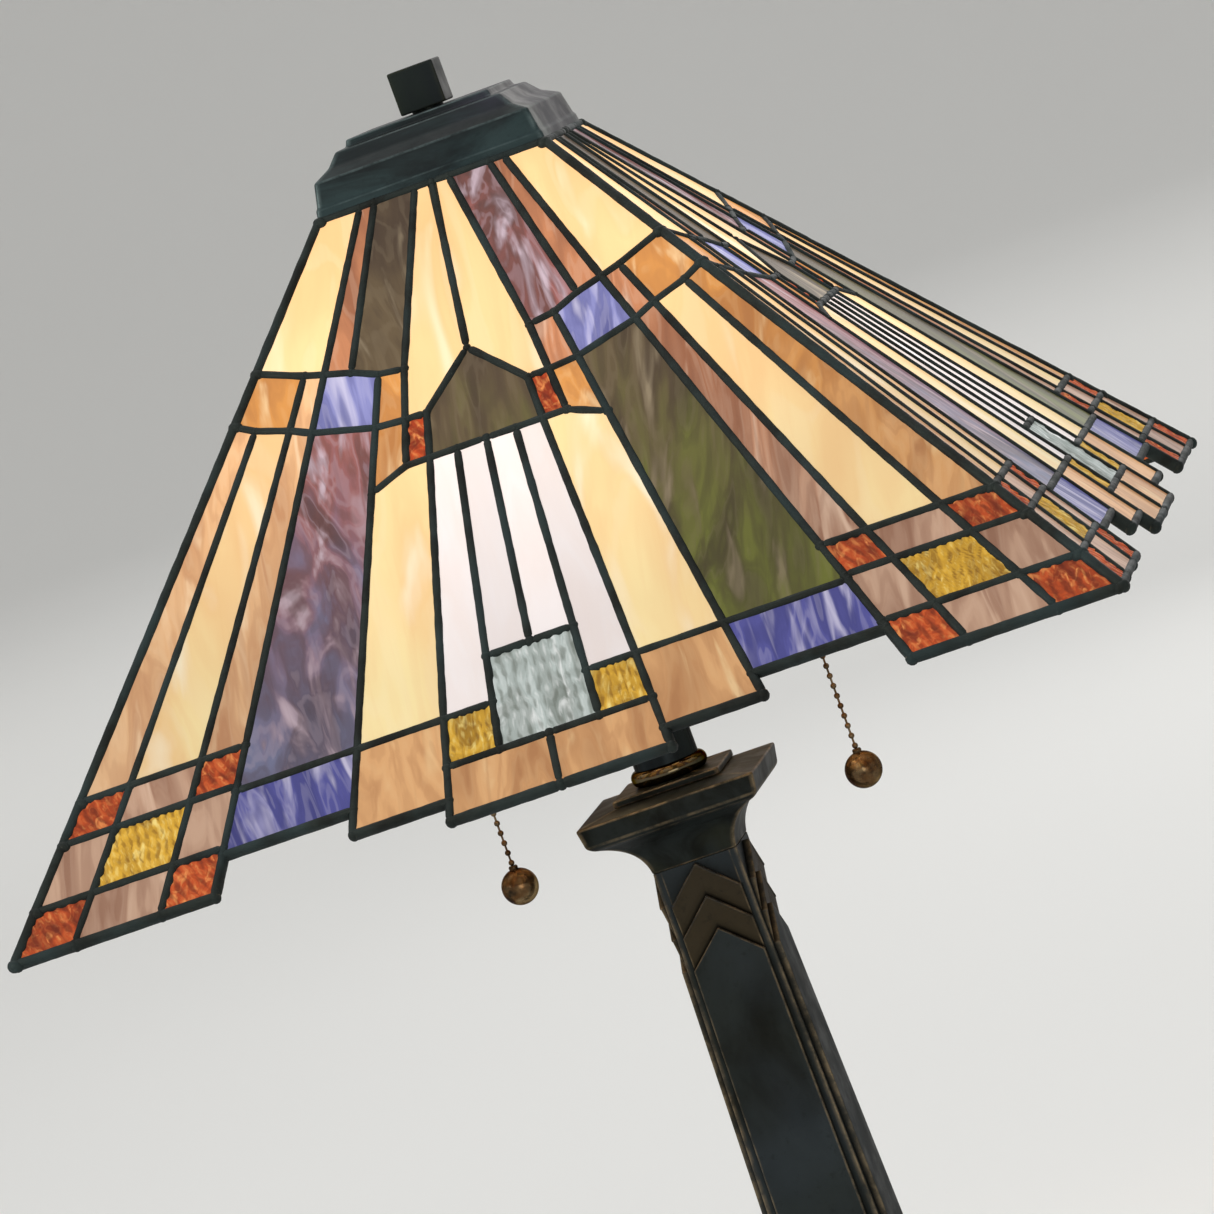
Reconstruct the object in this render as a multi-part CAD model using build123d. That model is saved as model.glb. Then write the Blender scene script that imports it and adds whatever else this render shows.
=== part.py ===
from build123d import *
import os
from math import asin, cos, hypot, pi, radians, sin

# A table lamp with a leaded glass shade. Millimetres, +Z up, the origin under the middle of the base,
# and the front face of the shade and of the column towards -Y.

# ---------------------------------------------------------------- base
FELT_THICKNESS = 1.5
PLINTH_WIDTH = 164.0
PLINTH_SIDE_HEIGHT = 12.5
PLINTH_STEP_IN = 6.0
PLINTH_STEP_HEIGHT = 6.0
PLINTH_LEDGE = 4.0
PLINTH_SLOPE_HEIGHT = 13.0
PLINTH_WALL = 4.0
COVER_THICKNESS = 2.0
COVER_CLEARANCE = 0.4
BALLAST_CLEARANCE = 2.0
BALLAST_FOOT_GAP = 1.0
FOOT_WIDTH = 72.0
FOOT_HEIGHT = 16.5
FOOT_STEP_HEIGHT = 4.5
FOOT_STEP_IN = 3.0
FOOT_LIP = 1.6
BUSHING_BORE_RADIUS = 3.2
BUSHING_BODY_RADIUS = 4.1
BUSHING_FLANGE_RADIUS = 5.6
BUSHING_FLANGE_THICKNESS = 1.5
BUSHING_TAIL = 3.0

# ---------------------------------------------------------------- column
SHAFT_LENGTH = 277.0
SHAFT_FOOT_WIDTH = 46.4
SHAFT_NECK_WIDTH = 32.8
SHAFT_WALL = 4.0
PANEL_PROUD = 2.6
PANEL_FOOT_WIDTH = 36.6
PANEL_NECK_WIDTH = 27.2
CHEVRON_PITCH = 12.6
CHEVRON_COUNT = 3
CHEVRON_FALL = 12.6
CHEVRON_HEEL = 0.5
CHEVRON_TOP_GAP = 0.5
CAPITAL_FLARE_HEIGHT = 17.1
CAPITAL_FLARE_SLOPE = 0.45
CAPITAL_WIDTH = 69.2
CAPITAL_UNDER_IN = 3.1
CAPITAL_EDGE_IN = 1.2
CAPITAL_BEVEL_HEIGHT = 1.7
CAPITAL_SIDE_HEIGHT = 7.6
CAPITAL_TOP_RISE = 1.7
CAPITAL_WALL = 4.0
NECK_PLATE_WIDTH = 41.6
NECK_PLATE_HEIGHT = 2.6
NECK_PLATE_BEVEL = 0.7
NECK_PLATE_LAP = 2.0
NECK_RADIUS = 12.3
NECK_WALL = 1.2
NECK_LENGTH = 30.0
RING_RADIUS = 14.75
RING_HEIGHT = 6.0

# ---------------------------------------------------------------- stem, riser and fasteners
PIPE_RADIUS = 4.85
PIPE_BORE_RADIUS = 3.4
PIPE_HOLE_CLEARANCE = 0.35
RISER_RADIUS = 3.2
NUT_FLATS = 16.0
NUT_HEIGHT = 5.0
WASHER_RADIUS = 14.0
WASHER_THICKNESS = 1.5
SEAT_WASHER_RADIUS = 12.0
COUPLING_FLATS = 12.0
COUPLING_HEIGHT = 14.0
TURNING_CLEARANCE = 0.05

# ---------------------------------------------------------------- light cluster
CLUSTER_RADIUS = 17.0
CLUSTER_HEIGHT = 20.0
CLUSTER_ROUND = 3.0
CLUSTER_WALL = 3.0
ARM_RADIUS = 5.0
ARM_BORE_RADIUS = 3.6
ARM_REACH = 46.0
ARM_BEND_RADIUS = 13.0
SOCKET_RADIUS = 16.5
SOCKET_WALL = 0.8
SOCKET_CAP_HEIGHT = 18.0
SOCKET_CAP_LIP = 0.6
SOCKET_CAP_ROUND = 6.0
SOCKET_SHELL_HEIGHT = 36.0
SWITCH_BODY_HEIGHT = 24.0
SWITCH_BODY_DROP = 6.0
SCREW_SHELL_HEIGHT = 15.0
BULB_BASE_RADIUS = 13.0
BULB_BASE_HEIGHT = 22.0
BULB_TIP_IN = 5.0
BULB_TIP_HEIGHT = 4.0
BULB_SEAT_GAP = 0.5
BULB_NECK_RADIUS = 13.4
BULB_THROAT_HEIGHT = 8.0
BULB_RADIUS = 29.0
BULB_GLASS_HEIGHT = 76.0
BULB_WALL = 1.0

# ---------------------------------------------------------------- pull chains
GUIDE_REACH = 5.5
GUIDE_RADIUS = 3.0
GUIDE_MOUTH_RADIUS = 4.0
GUIDE_BORE_RADIUS = 1.9
GUIDE_BELL_HEIGHT = 4.0
GUIDE_DROP = 9.0
GUIDE_RISE = 8.0
BEAD_RADIUS = 1.15
BEAD_PITCH = 3.9
BEAD_WIRE_RADIUS = 0.4
UPPER_BEADS = 11
LOWER_BEADS = 11
LINK_GAP = 0.3
BALL_RADIUS = 7.0
BALL_COLLAR_RADIUS = 1.7
BALL_COLLAR_HEIGHT = 1.2

# ---------------------------------------------------------------- shade
SHADE_WIDTH = 406.0
SHADE_TOP_WIDTH = 88.7
SHADE_HEIGHT = 201.3
SHADE_CLEAR = 35.3
GLASS_THICKNESS = 3.0
FOIL_PROUD = 1.0
FOIL_LAP = 1.1
LINE_WIDTH = 3.4
HIP_GAP = 1.2
HIP_BEAD_RADIUS = 2.7
COLLAR_THICKNESS = 1.6
COLLAR_INSET = 2.4

# ---------------------------------------------------------------- cap and finial
CAP_WALL = 1.6
CAP_SKIRT_HEIGHT = 3.7
CAP_SKIRT_TAPER = 0.5
CAP_LEDGE_RISE = 0.9
CAP_RIM_SET_IN = 1.1
CAP_RIM_HEIGHT = 9.5
CAP_RIM_TAPER = 1.7
CAP_SHOULDER_IN = 5.8
CAP_SHOULDER_HEIGHT = 3.4
CAP_TIER_IN = 3.7
CAP_TIER_HEIGHT = 4.7
CAP_PLATE_IN = 3.6
CAP_PLATE_RISE = 0.4
CAP_PLATE_TAPER = 0.8
CAP_PLATE_HEIGHT = 2.9
FINIAL_WIDTH = 17.6
FINIAL_HEIGHT = 16.2
FINIAL_BOSS_RADIUS = 6.0
FINIAL_BOSS_HEIGHT = 0.8
FINIAL_EDGE = 0.5
RISER_INTO_FINIAL = 10.0
FINIAL_HOLE_DEPTH = 12.0

# ---------------------------------------------------------------- places that follow from the sizes above
cover_z = FELT_THICKNESS
step_z = cover_z + PLINTH_SIDE_HEIGHT
slope_z = step_z + PLINTH_STEP_HEIGHT
foot_z = slope_z + PLINTH_SLOPE_HEIGHT
shaft_z = foot_z + FOOT_HEIGHT
capital_z = shaft_z + SHAFT_LENGTH
under_z = capital_z + CAPITAL_FLARE_HEIGHT
edge_z = under_z + CAPITAL_BEVEL_HEIGHT
brow_z = edge_z + CAPITAL_SIDE_HEIGHT
plate_z = brow_z + CAPITAL_TOP_RISE
neck_z = plate_z + NECK_PLATE_HEIGHT
cluster_z = neck_z + NECK_LENGTH
cluster_top_z = cluster_z + CLUSTER_HEIGHT
arm_z = cluster_z + CLUSTER_HEIGHT / 2
socket_z = arm_z + ARM_BEND_RADIUS + SOCKET_WALL
shell_z = socket_z + SOCKET_CAP_HEIGHT
switch_z = shell_z - SWITCH_BODY_DROP
contact_z = switch_z + SWITCH_BODY_HEIGHT
bulb_z = contact_z + BULB_SEAT_GAP
globe_z = bulb_z + BULB_BASE_HEIGHT
guide_z = shell_z + GUIDE_RISE
mouth_z = guide_z - GUIDE_DROP
shade_z = neck_z + SHADE_CLEAR
collar_z = shade_z + SHADE_HEIGHT
cap_layers = (CAP_SKIRT_HEIGHT, CAP_RIM_HEIGHT, CAP_SHOULDER_HEIGHT, CAP_TIER_HEIGHT, CAP_PLATE_HEIGHT)
cap_top_z = collar_z + sum(cap_layers)
finial_z = cap_top_z + FINIAL_BOSS_HEIGHT
pipe_hole = PIPE_RADIUS + PIPE_HOLE_CLEARANCE
riser_hole = RISER_RADIUS + TURNING_CLEARANCE
socket_inside = SOCKET_RADIUS - SOCKET_WALL
chain_x = ARM_REACH + SOCKET_RADIUS + GUIDE_REACH

# The slope of a shade panel: its length up the glass, and how far the sides lean.
half_bottom = SHADE_WIDTH / 2
half_top = SHADE_TOP_WIDTH / 2
slope = hypot(half_bottom - half_top, SHADE_HEIGHT)
lean = (half_bottom - half_top) / slope
rise = SHADE_HEIGHT / slope

# The cartoon of one panel. Rows are heights up the glass on a cartoon of CARTOON_HEIGHT, which is scaled
# to the panel, and columns are shares of the half width at each height.
CARTOON_HEIGHT = 256.3
ROW_TOP = 256.3
ROW_HOUSE_APEX = 182.0
ROW_HOUSE_EAVE = 161.2
ROW_HOUSE_FOOT = 142.5
ROW_AMBER_FOOT = 136.0
ROW_CLEAR_TOP = 56.3
ROW_CHECK_TOP = 54.0
ROW_CHECK_HIGH = 39.5
ROW_PANE_FOOT = 37.4
ROW_CLEAR_FOOT = 18.4
ROW_CHECK_LOW = 17.2
ROW_BLUE_FOOT = 14.6
ROW_AMBER_EDGE = 5.5
ROW_CORNER = 0.0
ROW_CENTRE_EDGE = -2.0
COL_INNER = 0.096
COL_PEAK = 0.146
COL_EAVE = 0.186
COL_WHITE = 0.197
COL_RED = 0.265
COL_STREAK = 0.376
COL_SPLIT = 0.50
COL_BAND = 0.628
COL_STRIP = 0.727
COL_EDGE = 0.885
COL_HIP = 1.0

# The band across the panel rises from the middle to the hips: its top and bottom lines at each column.
BAND_TOP = {
    COL_RED: 182.3,
    COL_STREAK: 183.8,
    COL_SPLIT: 188.5,
    COL_BAND: 191.6,
    COL_STRIP: 194.0,
    COL_HIP: 202.0,
}
BAND_FOOT = {
    COL_RED: 161.4,
    COL_STREAK: 162.4,
    COL_BAND: 169.4,
    COL_STRIP: 173.6,
    COL_EDGE: 178.4,
    COL_HIP: 183.3,
}

UPRIGHT = (Align.CENTER, Align.CENTER, Align.MIN)


# ---------------------------------------------------------------- helpers
def disc(radius, z, height, x=0.0):
    """An upright round bar."""
    return Pos(x, 0, z) * Cylinder(radius, height, align=UPRIGHT)


def hexagon(flats, z, height):
    """An upright hexagonal bar, by its size across the flats."""
    return Pos(0, 0, z) * extrude(RegularPolygon(flats / 2, 6, major_radius=False), height)


def square_body(outline):
    """A square body with mitred corners. outline is its half section, a closed face in X and Z."""
    section = Plane.XZ * (outline + mirror(outline, Plane.YZ))
    reach = outline.bounding_box().max.X + 1
    pushed = extrude(section, reach, both=True)
    return pushed & (Rot(0, 0, 90) * pushed)


def stepped(points):
    """The half section of a square body, from its foot up: pairs of half width and height."""
    foot, top = points[0][1], points[-1][1]
    return make_face(Polyline((0, foot), *points, (0, top), close=True))


def turned(points, x=0.0):
    """A solid turned about an upright axis at x. points is a closed outline in radius and height."""
    outline = Plane.XZ * make_face(Polyline(*points, close=True))
    return Pos(x, 0, 0) * revolve(outline, Axis.Z)


def four_sides(piece):
    """The piece on the front, right, back and left sides."""
    return [Rot(0, 0, 90 * turn) * piece for turn in range(4)]


def nut(z, hole):
    return hexagon(NUT_FLATS, z, NUT_HEIGHT) - disc(hole, z, NUT_HEIGHT)


# ---------------------------------------------------------------- base
def plinth_outline(inset):
    """The half section of the plinth, set in by a wall."""
    half = PLINTH_WIDTH / 2 - inset
    step = half - PLINTH_STEP_IN
    foot = FOOT_WIDTH / 2 - inset / 2
    return stepped([
        (half, cover_z),
        (half, step_z - inset),
        (step, step_z - inset),
        (step, slope_z - inset),
        (step - PLINTH_LEDGE, slope_z - inset),
        (foot, foot_z - inset),
    ])


def make_plinth():
    body = square_body(plinth_outline(0)) - square_body(plinth_outline(PLINTH_WALL))
    body -= disc(pipe_hole, cover_z, foot_z)
    return body - bushing_bar(BUSHING_BODY_RADIUS, PLINTH_WIDTH / 2 - 2 * PLINTH_WALL, 3 * PLINTH_WALL)


def bushing_bar(radius, start, length):
    """A round bar along Y at the height of the cord bushing."""
    z = cover_z + PLINTH_SIDE_HEIGHT / 2
    return Pos(0, start, z) * Rot(-90, 0, 0) * Cylinder(radius, length, align=UPRIGHT)


def make_bushing():
    wall_y = PLINTH_WIDTH / 2
    tail = wall_y - PLINTH_WALL - BUSHING_TAIL
    body = bushing_bar(BUSHING_BODY_RADIUS, tail, wall_y - tail)
    body += bushing_bar(BUSHING_FLANGE_RADIUS, wall_y, BUSHING_FLANGE_THICKNESS)
    return body - bushing_bar(BUSHING_BORE_RADIUS, tail, wall_y - tail + BUSHING_FLANGE_THICKNESS)


def make_felt():
    size = PLINTH_WIDTH - PLINTH_WALL
    return Pos(0, 0, FELT_THICKNESS / 2) * Box(size, size, FELT_THICKNESS)


def make_cover():
    size = PLINTH_WIDTH - 2 * PLINTH_WALL - 2 * COVER_CLEARANCE
    return Pos(0, 0, cover_z + COVER_THICKNESS / 2) * Box(size, size, COVER_THICKNESS)


def ballast_foot():
    """The underside of the ballast, with room under it for the lower washer and nut."""
    return cover_z + COVER_THICKNESS + WASHER_THICKNESS + NUT_HEIGHT + BALLAST_FOOT_GAP


def make_ballast():
    lower = PLINTH_WIDTH / 2 - PLINTH_WALL - PLINTH_STEP_IN - BALLAST_CLEARANCE
    ceiling = slope_z - PLINTH_WALL
    upper = lower - PLINTH_LEDGE - BALLAST_CLEARANCE
    top = foot_z - 2 * PLINTH_WALL
    crown = upper - (upper - FOOT_WIDTH / 2) * (top - ceiling) / PLINTH_SLOPE_HEIGHT - BALLAST_CLEARANCE
    body = square_body(stepped([(lower, ballast_foot()), (lower, ceiling), (upper, ceiling), (crown, top)]))
    channel = Pos(0, lower / 2, ballast_foot()) * Box(3 * BUSHING_BORE_RADIUS, lower, BUSHING_BORE_RADIUS)
    return body - disc(pipe_hole, ballast_foot(), PLINTH_WIDTH) - channel


def make_foot_block():
    half = FOOT_WIDTH / 2
    waist = half - FOOT_STEP_IN
    top = SHAFT_FOOT_WIDTH / 2 + PANEL_PROUD + FOOT_LIP
    body = square_body(stepped([
        (half, foot_z),
        (half, foot_z + FOOT_STEP_HEIGHT),
        (waist, foot_z + FOOT_STEP_HEIGHT),
        (top, shaft_z - FOOT_STEP_HEIGHT),
        (top, shaft_z),
    ]))
    return body - disc(pipe_hole, foot_z, FOOT_HEIGHT)


# ---------------------------------------------------------------- column
def shaft_core(proud):
    """The tapering square core, or the same grown outwards, which is the surface of the long panels."""
    return square_body(stepped([
        (SHAFT_FOOT_WIDTH / 2 + proud, shaft_z),
        (SHAFT_NECK_WIDTH / 2 + proud, chevron_apex(CHEVRON_COUNT - 1)),
        (SHAFT_NECK_WIDTH / 2 + proud, capital_z),
    ]))


def chevron_apex(index):
    """The height of the peak of each chevron plate, from the top one down."""
    return capital_z - CHEVRON_TOP_GAP - index * CHEVRON_PITCH


def long_panel():
    """The proud panel up the front of the shaft, peaked as the lowest chevron."""
    apex = chevron_apex(CHEVRON_COUNT - 1)
    foot, neck = PANEL_FOOT_WIDTH / 2, PANEL_NECK_WIDTH / 2
    corner = apex - CHEVRON_FALL
    right = [(foot, shaft_z), (neck, corner)]
    left = [(-neck, corner), (-foot, shaft_z)]
    face = make_face(Polyline(*right, (0, apex), *left, close=True))
    return extrude(Plane.XZ * face, SHAFT_FOOT_WIDTH)


def chevron(index):
    """One plate: proud along its peaked upper edge, and leaning in to the heel at its lower edge."""
    apex = chevron_apex(index)
    core = -SHAFT_NECK_WIDTH / 2
    side = Polyline(
        (core + CHEVRON_HEEL, apex), (core - PANEL_PROUD, apex),
        (core - CHEVRON_HEEL, apex - CHEVRON_PITCH), (core + CHEVRON_HEEL, apex - CHEVRON_PITCH), close=True)
    width = PANEL_NECK_WIDTH / 2
    half = extrude(Plane.YZ * make_face(side), hypot(width, CHEVRON_FALL), dir=(width, 0, -CHEVRON_FALL))
    return half + mirror(half, Plane.YZ)


def make_shaft():
    body = shaft_core(0)
    surface = shaft_core(PANEL_PROUD)
    for panel in four_sides(long_panel()):
        body += surface & panel
    for index in range(CHEVRON_COUNT - 1):
        body += four_sides(chevron(index))
    hollow = square_body(stepped([
        (SHAFT_FOOT_WIDTH / 2 - SHAFT_WALL, shaft_z),
        (SHAFT_NECK_WIDTH / 2 - SHAFT_WALL, capital_z),
    ]))
    return body - hollow


def make_capital():
    """A hollow square block on a flare, whose curve leaves the shaft upright and then leans out."""
    neck = SHAFT_NECK_WIDTH / 2
    brow = CAPITAL_WIDTH / 2
    under = brow - CAPITAL_UNDER_IN
    flare = Spline((neck, capital_z), (under, under_z), tangents=((0, 1), (1, CAPITAL_FLARE_SLOPE)))
    crown = Polyline(
        (under, under_z), (brow - CAPITAL_EDGE_IN, edge_z), (brow, brow_z),
        (NECK_PLATE_WIDTH / 2 - NECK_PLATE_LAP, plate_z), (0, plate_z), (0, capital_z), (neck, capital_z))
    body = square_body(make_face(flare + crown))
    room = square_body(stepped([
        (neck - CAPITAL_WALL, capital_z),
        (neck - CAPITAL_WALL, under_z - CAPITAL_WALL),
        (under - 2 * CAPITAL_WALL, edge_z),
        (under - 2 * CAPITAL_WALL, plate_z - CAPITAL_WALL),
    ]))
    return body - room - disc(pipe_hole, capital_z, plate_z - capital_z)


def make_neck_plate():
    half = NECK_PLATE_WIDTH / 2
    body = square_body(stepped([
        (half, plate_z),
        (half, neck_z - NECK_PLATE_BEVEL),
        (half - NECK_PLATE_BEVEL, neck_z),
    ]))
    return body - disc(pipe_hole, plate_z, NECK_PLATE_HEIGHT)


def make_neck_tube():
    return disc(NECK_RADIUS, neck_z, NECK_LENGTH) - disc(NECK_RADIUS - NECK_WALL, neck_z, NECK_LENGTH)


def make_ring():
    """A half round ring that hugs the foot of the neck tube."""
    middle = neck_z + RING_HEIGHT / 2
    arc = ThreePointArc((NECK_RADIUS, neck_z), (RING_RADIUS, middle), (NECK_RADIUS, neck_z + RING_HEIGHT))
    section = make_face(arc + Line((NECK_RADIUS, neck_z + RING_HEIGHT), (NECK_RADIUS, neck_z)))
    return revolve(Plane.XZ * section, Axis.Z)


# ---------------------------------------------------------------- stem and riser
def make_stem_pipe():
    low = ballast_foot() - WASHER_THICKNESS - NUT_HEIGHT
    return disc(PIPE_RADIUS, low, cluster_z - low) - disc(PIPE_BORE_RADIUS, low, cluster_z - low)


def make_stem_washer():
    low = ballast_foot() - WASHER_THICKNESS
    return disc(WASHER_RADIUS, low, WASHER_THICKNESS) - disc(PIPE_RADIUS, low, WASHER_THICKNESS)


def make_stem_nut():
    return nut(ballast_foot() - WASHER_THICKNESS - NUT_HEIGHT, PIPE_RADIUS)


def make_riser_coupling():
    return hexagon(COUPLING_FLATS, cluster_top_z, COUPLING_HEIGHT)


def make_riser_rod():
    low = cluster_top_z + COUPLING_HEIGHT
    return disc(RISER_RADIUS, low, cap_top_z + RISER_INTO_FINIAL - low)


def make_seat_washer():
    low = collar_z - WASHER_THICKNESS
    return disc(SEAT_WASHER_RADIUS, low, WASHER_THICKNESS) - disc(RISER_RADIUS, low, WASHER_THICKNESS)


def make_seat_nut():
    return nut(collar_z - WASHER_THICKNESS - NUT_HEIGHT, RISER_RADIUS)


# ---------------------------------------------------------------- light cluster
# In what follows, side is -1 on the left and 1 on the right.
def make_cluster_body():
    body = disc(CLUSTER_RADIUS, cluster_z, CLUSTER_HEIGHT)
    body = fillet(body.edges().filter_by(GeomType.CIRCLE), CLUSTER_ROUND)
    room = disc(CLUSTER_RADIUS - CLUSTER_WALL, cluster_z + CLUSTER_WALL, CLUSTER_HEIGHT - 2 * CLUSTER_WALL)
    ports = Pos(0, 0, arm_z) * Rot(0, 90, 0) * Cylinder(ARM_RADIUS, 2 * CLUSTER_RADIUS)
    return body - room - ports - disc(PIPE_BORE_RADIUS, cluster_z, CLUSTER_WALL)


def arm_path(side):
    bend_x = ARM_REACH - ARM_BEND_RADIUS
    inner = CLUSTER_RADIUS - CLUSTER_WALL
    run = Line((side * inner, 0, arm_z), (side * bend_x, 0, arm_z))
    diagonal = ARM_BEND_RADIUS * sin(pi / 4)
    middle = (side * (bend_x + diagonal), 0, arm_z + ARM_BEND_RADIUS - diagonal)
    end = (side * ARM_REACH, 0, arm_z + ARM_BEND_RADIUS)
    return run + ThreePointArc(run @ 1, middle, end)


def make_arm(side):
    path = arm_path(side)
    start = Plane(origin=path @ 0, z_dir=path % 0)
    ring = Circle(ARM_RADIUS) - Circle(ARM_BORE_RADIUS)
    return sweep(start * ring, path)


def make_socket_cap(side):
    """A brass cup with a rounded foot, open above, with a hole for the arm's bore in its floor."""
    x = side * ARM_REACH
    radius = SOCKET_RADIUS + SOCKET_CAP_LIP
    outer = disc(radius, socket_z - SOCKET_WALL, SOCKET_CAP_HEIGHT + SOCKET_WALL, x)
    outer = fillet(outer.edges().sort_by(Axis.Z)[0], SOCKET_CAP_ROUND)
    inner = disc(radius - SOCKET_WALL, socket_z, SOCKET_CAP_HEIGHT, x)
    inner = fillet(inner.edges().sort_by(Axis.Z)[0], SOCKET_CAP_ROUND - SOCKET_WALL)
    return outer - inner - disc(ARM_BORE_RADIUS, socket_z - SOCKET_WALL, SOCKET_WALL, x)


def make_socket_shell(side):
    x = side * ARM_REACH
    tube = disc(SOCKET_RADIUS, shell_z, SOCKET_SHELL_HEIGHT, x)
    tube -= disc(socket_inside, shell_z, SOCKET_SHELL_HEIGHT, x)
    port = Cylinder(GUIDE_RADIUS, SOCKET_RADIUS)
    return tube - Pos(x + side * SOCKET_RADIUS, 0, guide_z) * Rot(0, 90, 0) * port


def make_socket_interior(side):
    """The insulating switch body that fills the shell, with the screw shell that takes the bulb."""
    x = side * ARM_REACH
    body = disc(socket_inside, switch_z, SWITCH_BODY_HEIGHT, x)
    shell = disc(socket_inside, contact_z, SCREW_SHELL_HEIGHT, x)
    return body + (shell - disc(BULB_BASE_RADIUS + TURNING_CLEARANCE, contact_z, SCREW_SHELL_HEIGHT, x))


def make_bulb_base(side):
    x = side * ARM_REACH
    return turned([
        (0, bulb_z),
        (BULB_BASE_RADIUS - BULB_TIP_IN, bulb_z),
        (BULB_BASE_RADIUS, bulb_z + BULB_TIP_HEIGHT),
        (BULB_BASE_RADIUS, globe_z),
        (0, globe_z),
    ], x)


def globe_outline(inset):
    """A pear shape: a neck, a cone that touches the round crown, and the crown's arc over to the axis."""
    radius = BULB_RADIUS - inset
    centre = globe_z + BULB_GLASS_HEIGHT - BULB_RADIUS
    neck = BULB_NECK_RADIUS - inset
    throat = globe_z + BULB_THROAT_HEIGHT
    reach = hypot(neck, centre - throat)
    turn = asin(radius / reach) - asin(neck / reach)
    touch = (radius * cos(turn), centre - radius * sin(turn))
    crown = (0, centre + radius)
    shoulder = (radius * cos(radians(30)), centre + radius * sin(radians(30)))
    over = ThreePointArc(touch, shoulder, crown)
    wall = Polyline(crown, (0, globe_z), (neck, globe_z), (neck, throat), touch)
    return make_face(over + wall)


def make_bulb_globe(side):
    outer = revolve(Plane.XZ * globe_outline(0), Axis.Z)
    inner = revolve(Plane.XZ * globe_outline(BULB_WALL), Axis.Z)
    return Pos(side * ARM_REACH, 0, 0) * (outer - inner)


# ---------------------------------------------------------------- pull chains
def make_guide(side):
    """A bell that turns down beside the socket, bored for the chain."""
    x = side * chain_x
    wall_x = side * (ARM_REACH + socket_inside)
    run = abs(x - wall_x)
    bar = Pos((x + wall_x) / 2, 0, guide_z) * Rot(0, 90, 0)
    bell = turned([
        (0, mouth_z),
        (GUIDE_MOUTH_RADIUS, mouth_z),
        (GUIDE_RADIUS, mouth_z + GUIDE_BELL_HEIGHT),
        (GUIDE_RADIUS, guide_z),
        (0, guide_z),
    ], x)
    dome = Pos(x, 0, guide_z) * Sphere(GUIDE_RADIUS)
    bore = disc(GUIDE_BORE_RADIUS, mouth_z, guide_z - mouth_z, x)
    side_bore = bar * Cylinder(GUIDE_BORE_RADIUS, run)
    room = Pos(x, 0, guide_z) * Sphere(GUIDE_BORE_RADIUS)
    return bar * Cylinder(GUIDE_RADIUS, run) + bell + dome - bore - side_bore - room


def bead_run(x, top, count, wire_above, wire_below):
    """Beads on a wire, down from the bead at top. The wire stands out at both ends."""
    low = top - (count - 1) * BEAD_PITCH
    wire = disc(BEAD_WIRE_RADIUS, low - wire_below, top + wire_above - low + wire_below, x)
    return wire + [Pos(x, 0, top - index * BEAD_PITCH) * Sphere(BEAD_RADIUS) for index in range(count)]


def chain_top():
    """The centre of the first bead below the guide, where the chain swings."""
    return mouth_z - LINK_GAP


def lower_top():
    return chain_top() - UPPER_BEADS * BEAD_PITCH


def ball_centre():
    last_bead = lower_top() - (LOWER_BEADS - 1) * BEAD_PITCH
    return last_bead - BEAD_RADIUS - BALL_COLLAR_HEIGHT - BALL_RADIUS


def make_pull_link(side):
    above = chain_top() + BEAD_PITCH
    return bead_run(side * chain_x, above, 1, BEAD_RADIUS, BEAD_PITCH - BEAD_RADIUS - LINK_GAP)


def make_upper_chain(side):
    hang = BEAD_PITCH - BEAD_RADIUS - LINK_GAP
    return bead_run(side * chain_x, chain_top(), UPPER_BEADS, 0, hang)


def make_lower_chain(side):
    return bead_run(side * chain_x, lower_top(), LOWER_BEADS, 0, BEAD_RADIUS)


def make_ball_pull(side):
    x = side * chain_x
    centre = ball_centre()
    collar_top = centre + BALL_RADIUS + BALL_COLLAR_HEIGHT
    ball = Pos(x, 0, centre) * Sphere(BALL_RADIUS)
    ball += disc(BALL_COLLAR_RADIUS, centre, collar_top - centre, x)
    return ball - make_lower_chain(side)


# ---------------------------------------------------------------- shade
def half_at(row):
    """Half the width of a panel at a cartoon row."""
    return half_bottom - lean * height_at(row)


def height_at(row):
    return row * slope / CARTOON_HEIGHT


def at(column, row):
    """A point of the cartoon, on the panel: across from the middle, and up the glass."""
    return (column * half_at(row), height_at(row))


def band(rows, column):
    return at(column, rows[column])


def cross(a, b):
    return a[0] * b[1] - a[1] * b[0]


def grown(points, margin):
    """The polygon with each side moved outwards, or inwards where the margin is negative."""
    area = sum(cross(a, b) for a, b in zip(points, points[1:] + points[:1]))
    ring = points if area > 0 else points[::-1]
    sides = []
    for a, b in zip(ring, ring[1:] + ring[:1]):
        run = (b[0] - a[0], b[1] - a[1])
        size = hypot(*run)
        sides.append(((a[0] + margin * run[1] / size, a[1] - margin * run[0] / size), run))
    corners = []
    for (p, d), (q, e) in zip(sides[-1:] + sides[:-1], sides):
        share = cross((q[0] - p[0], q[1] - p[1]), e) / cross(d, e)
        corners.append((p[0] + share * d[0], p[1] + share * d[1]))
    return corners


def box_cell(left, right, low, high):
    """A piece between two columns and two rows."""
    return [at(left, low), at(right, low), at(right, high), at(left, high)]


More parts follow.
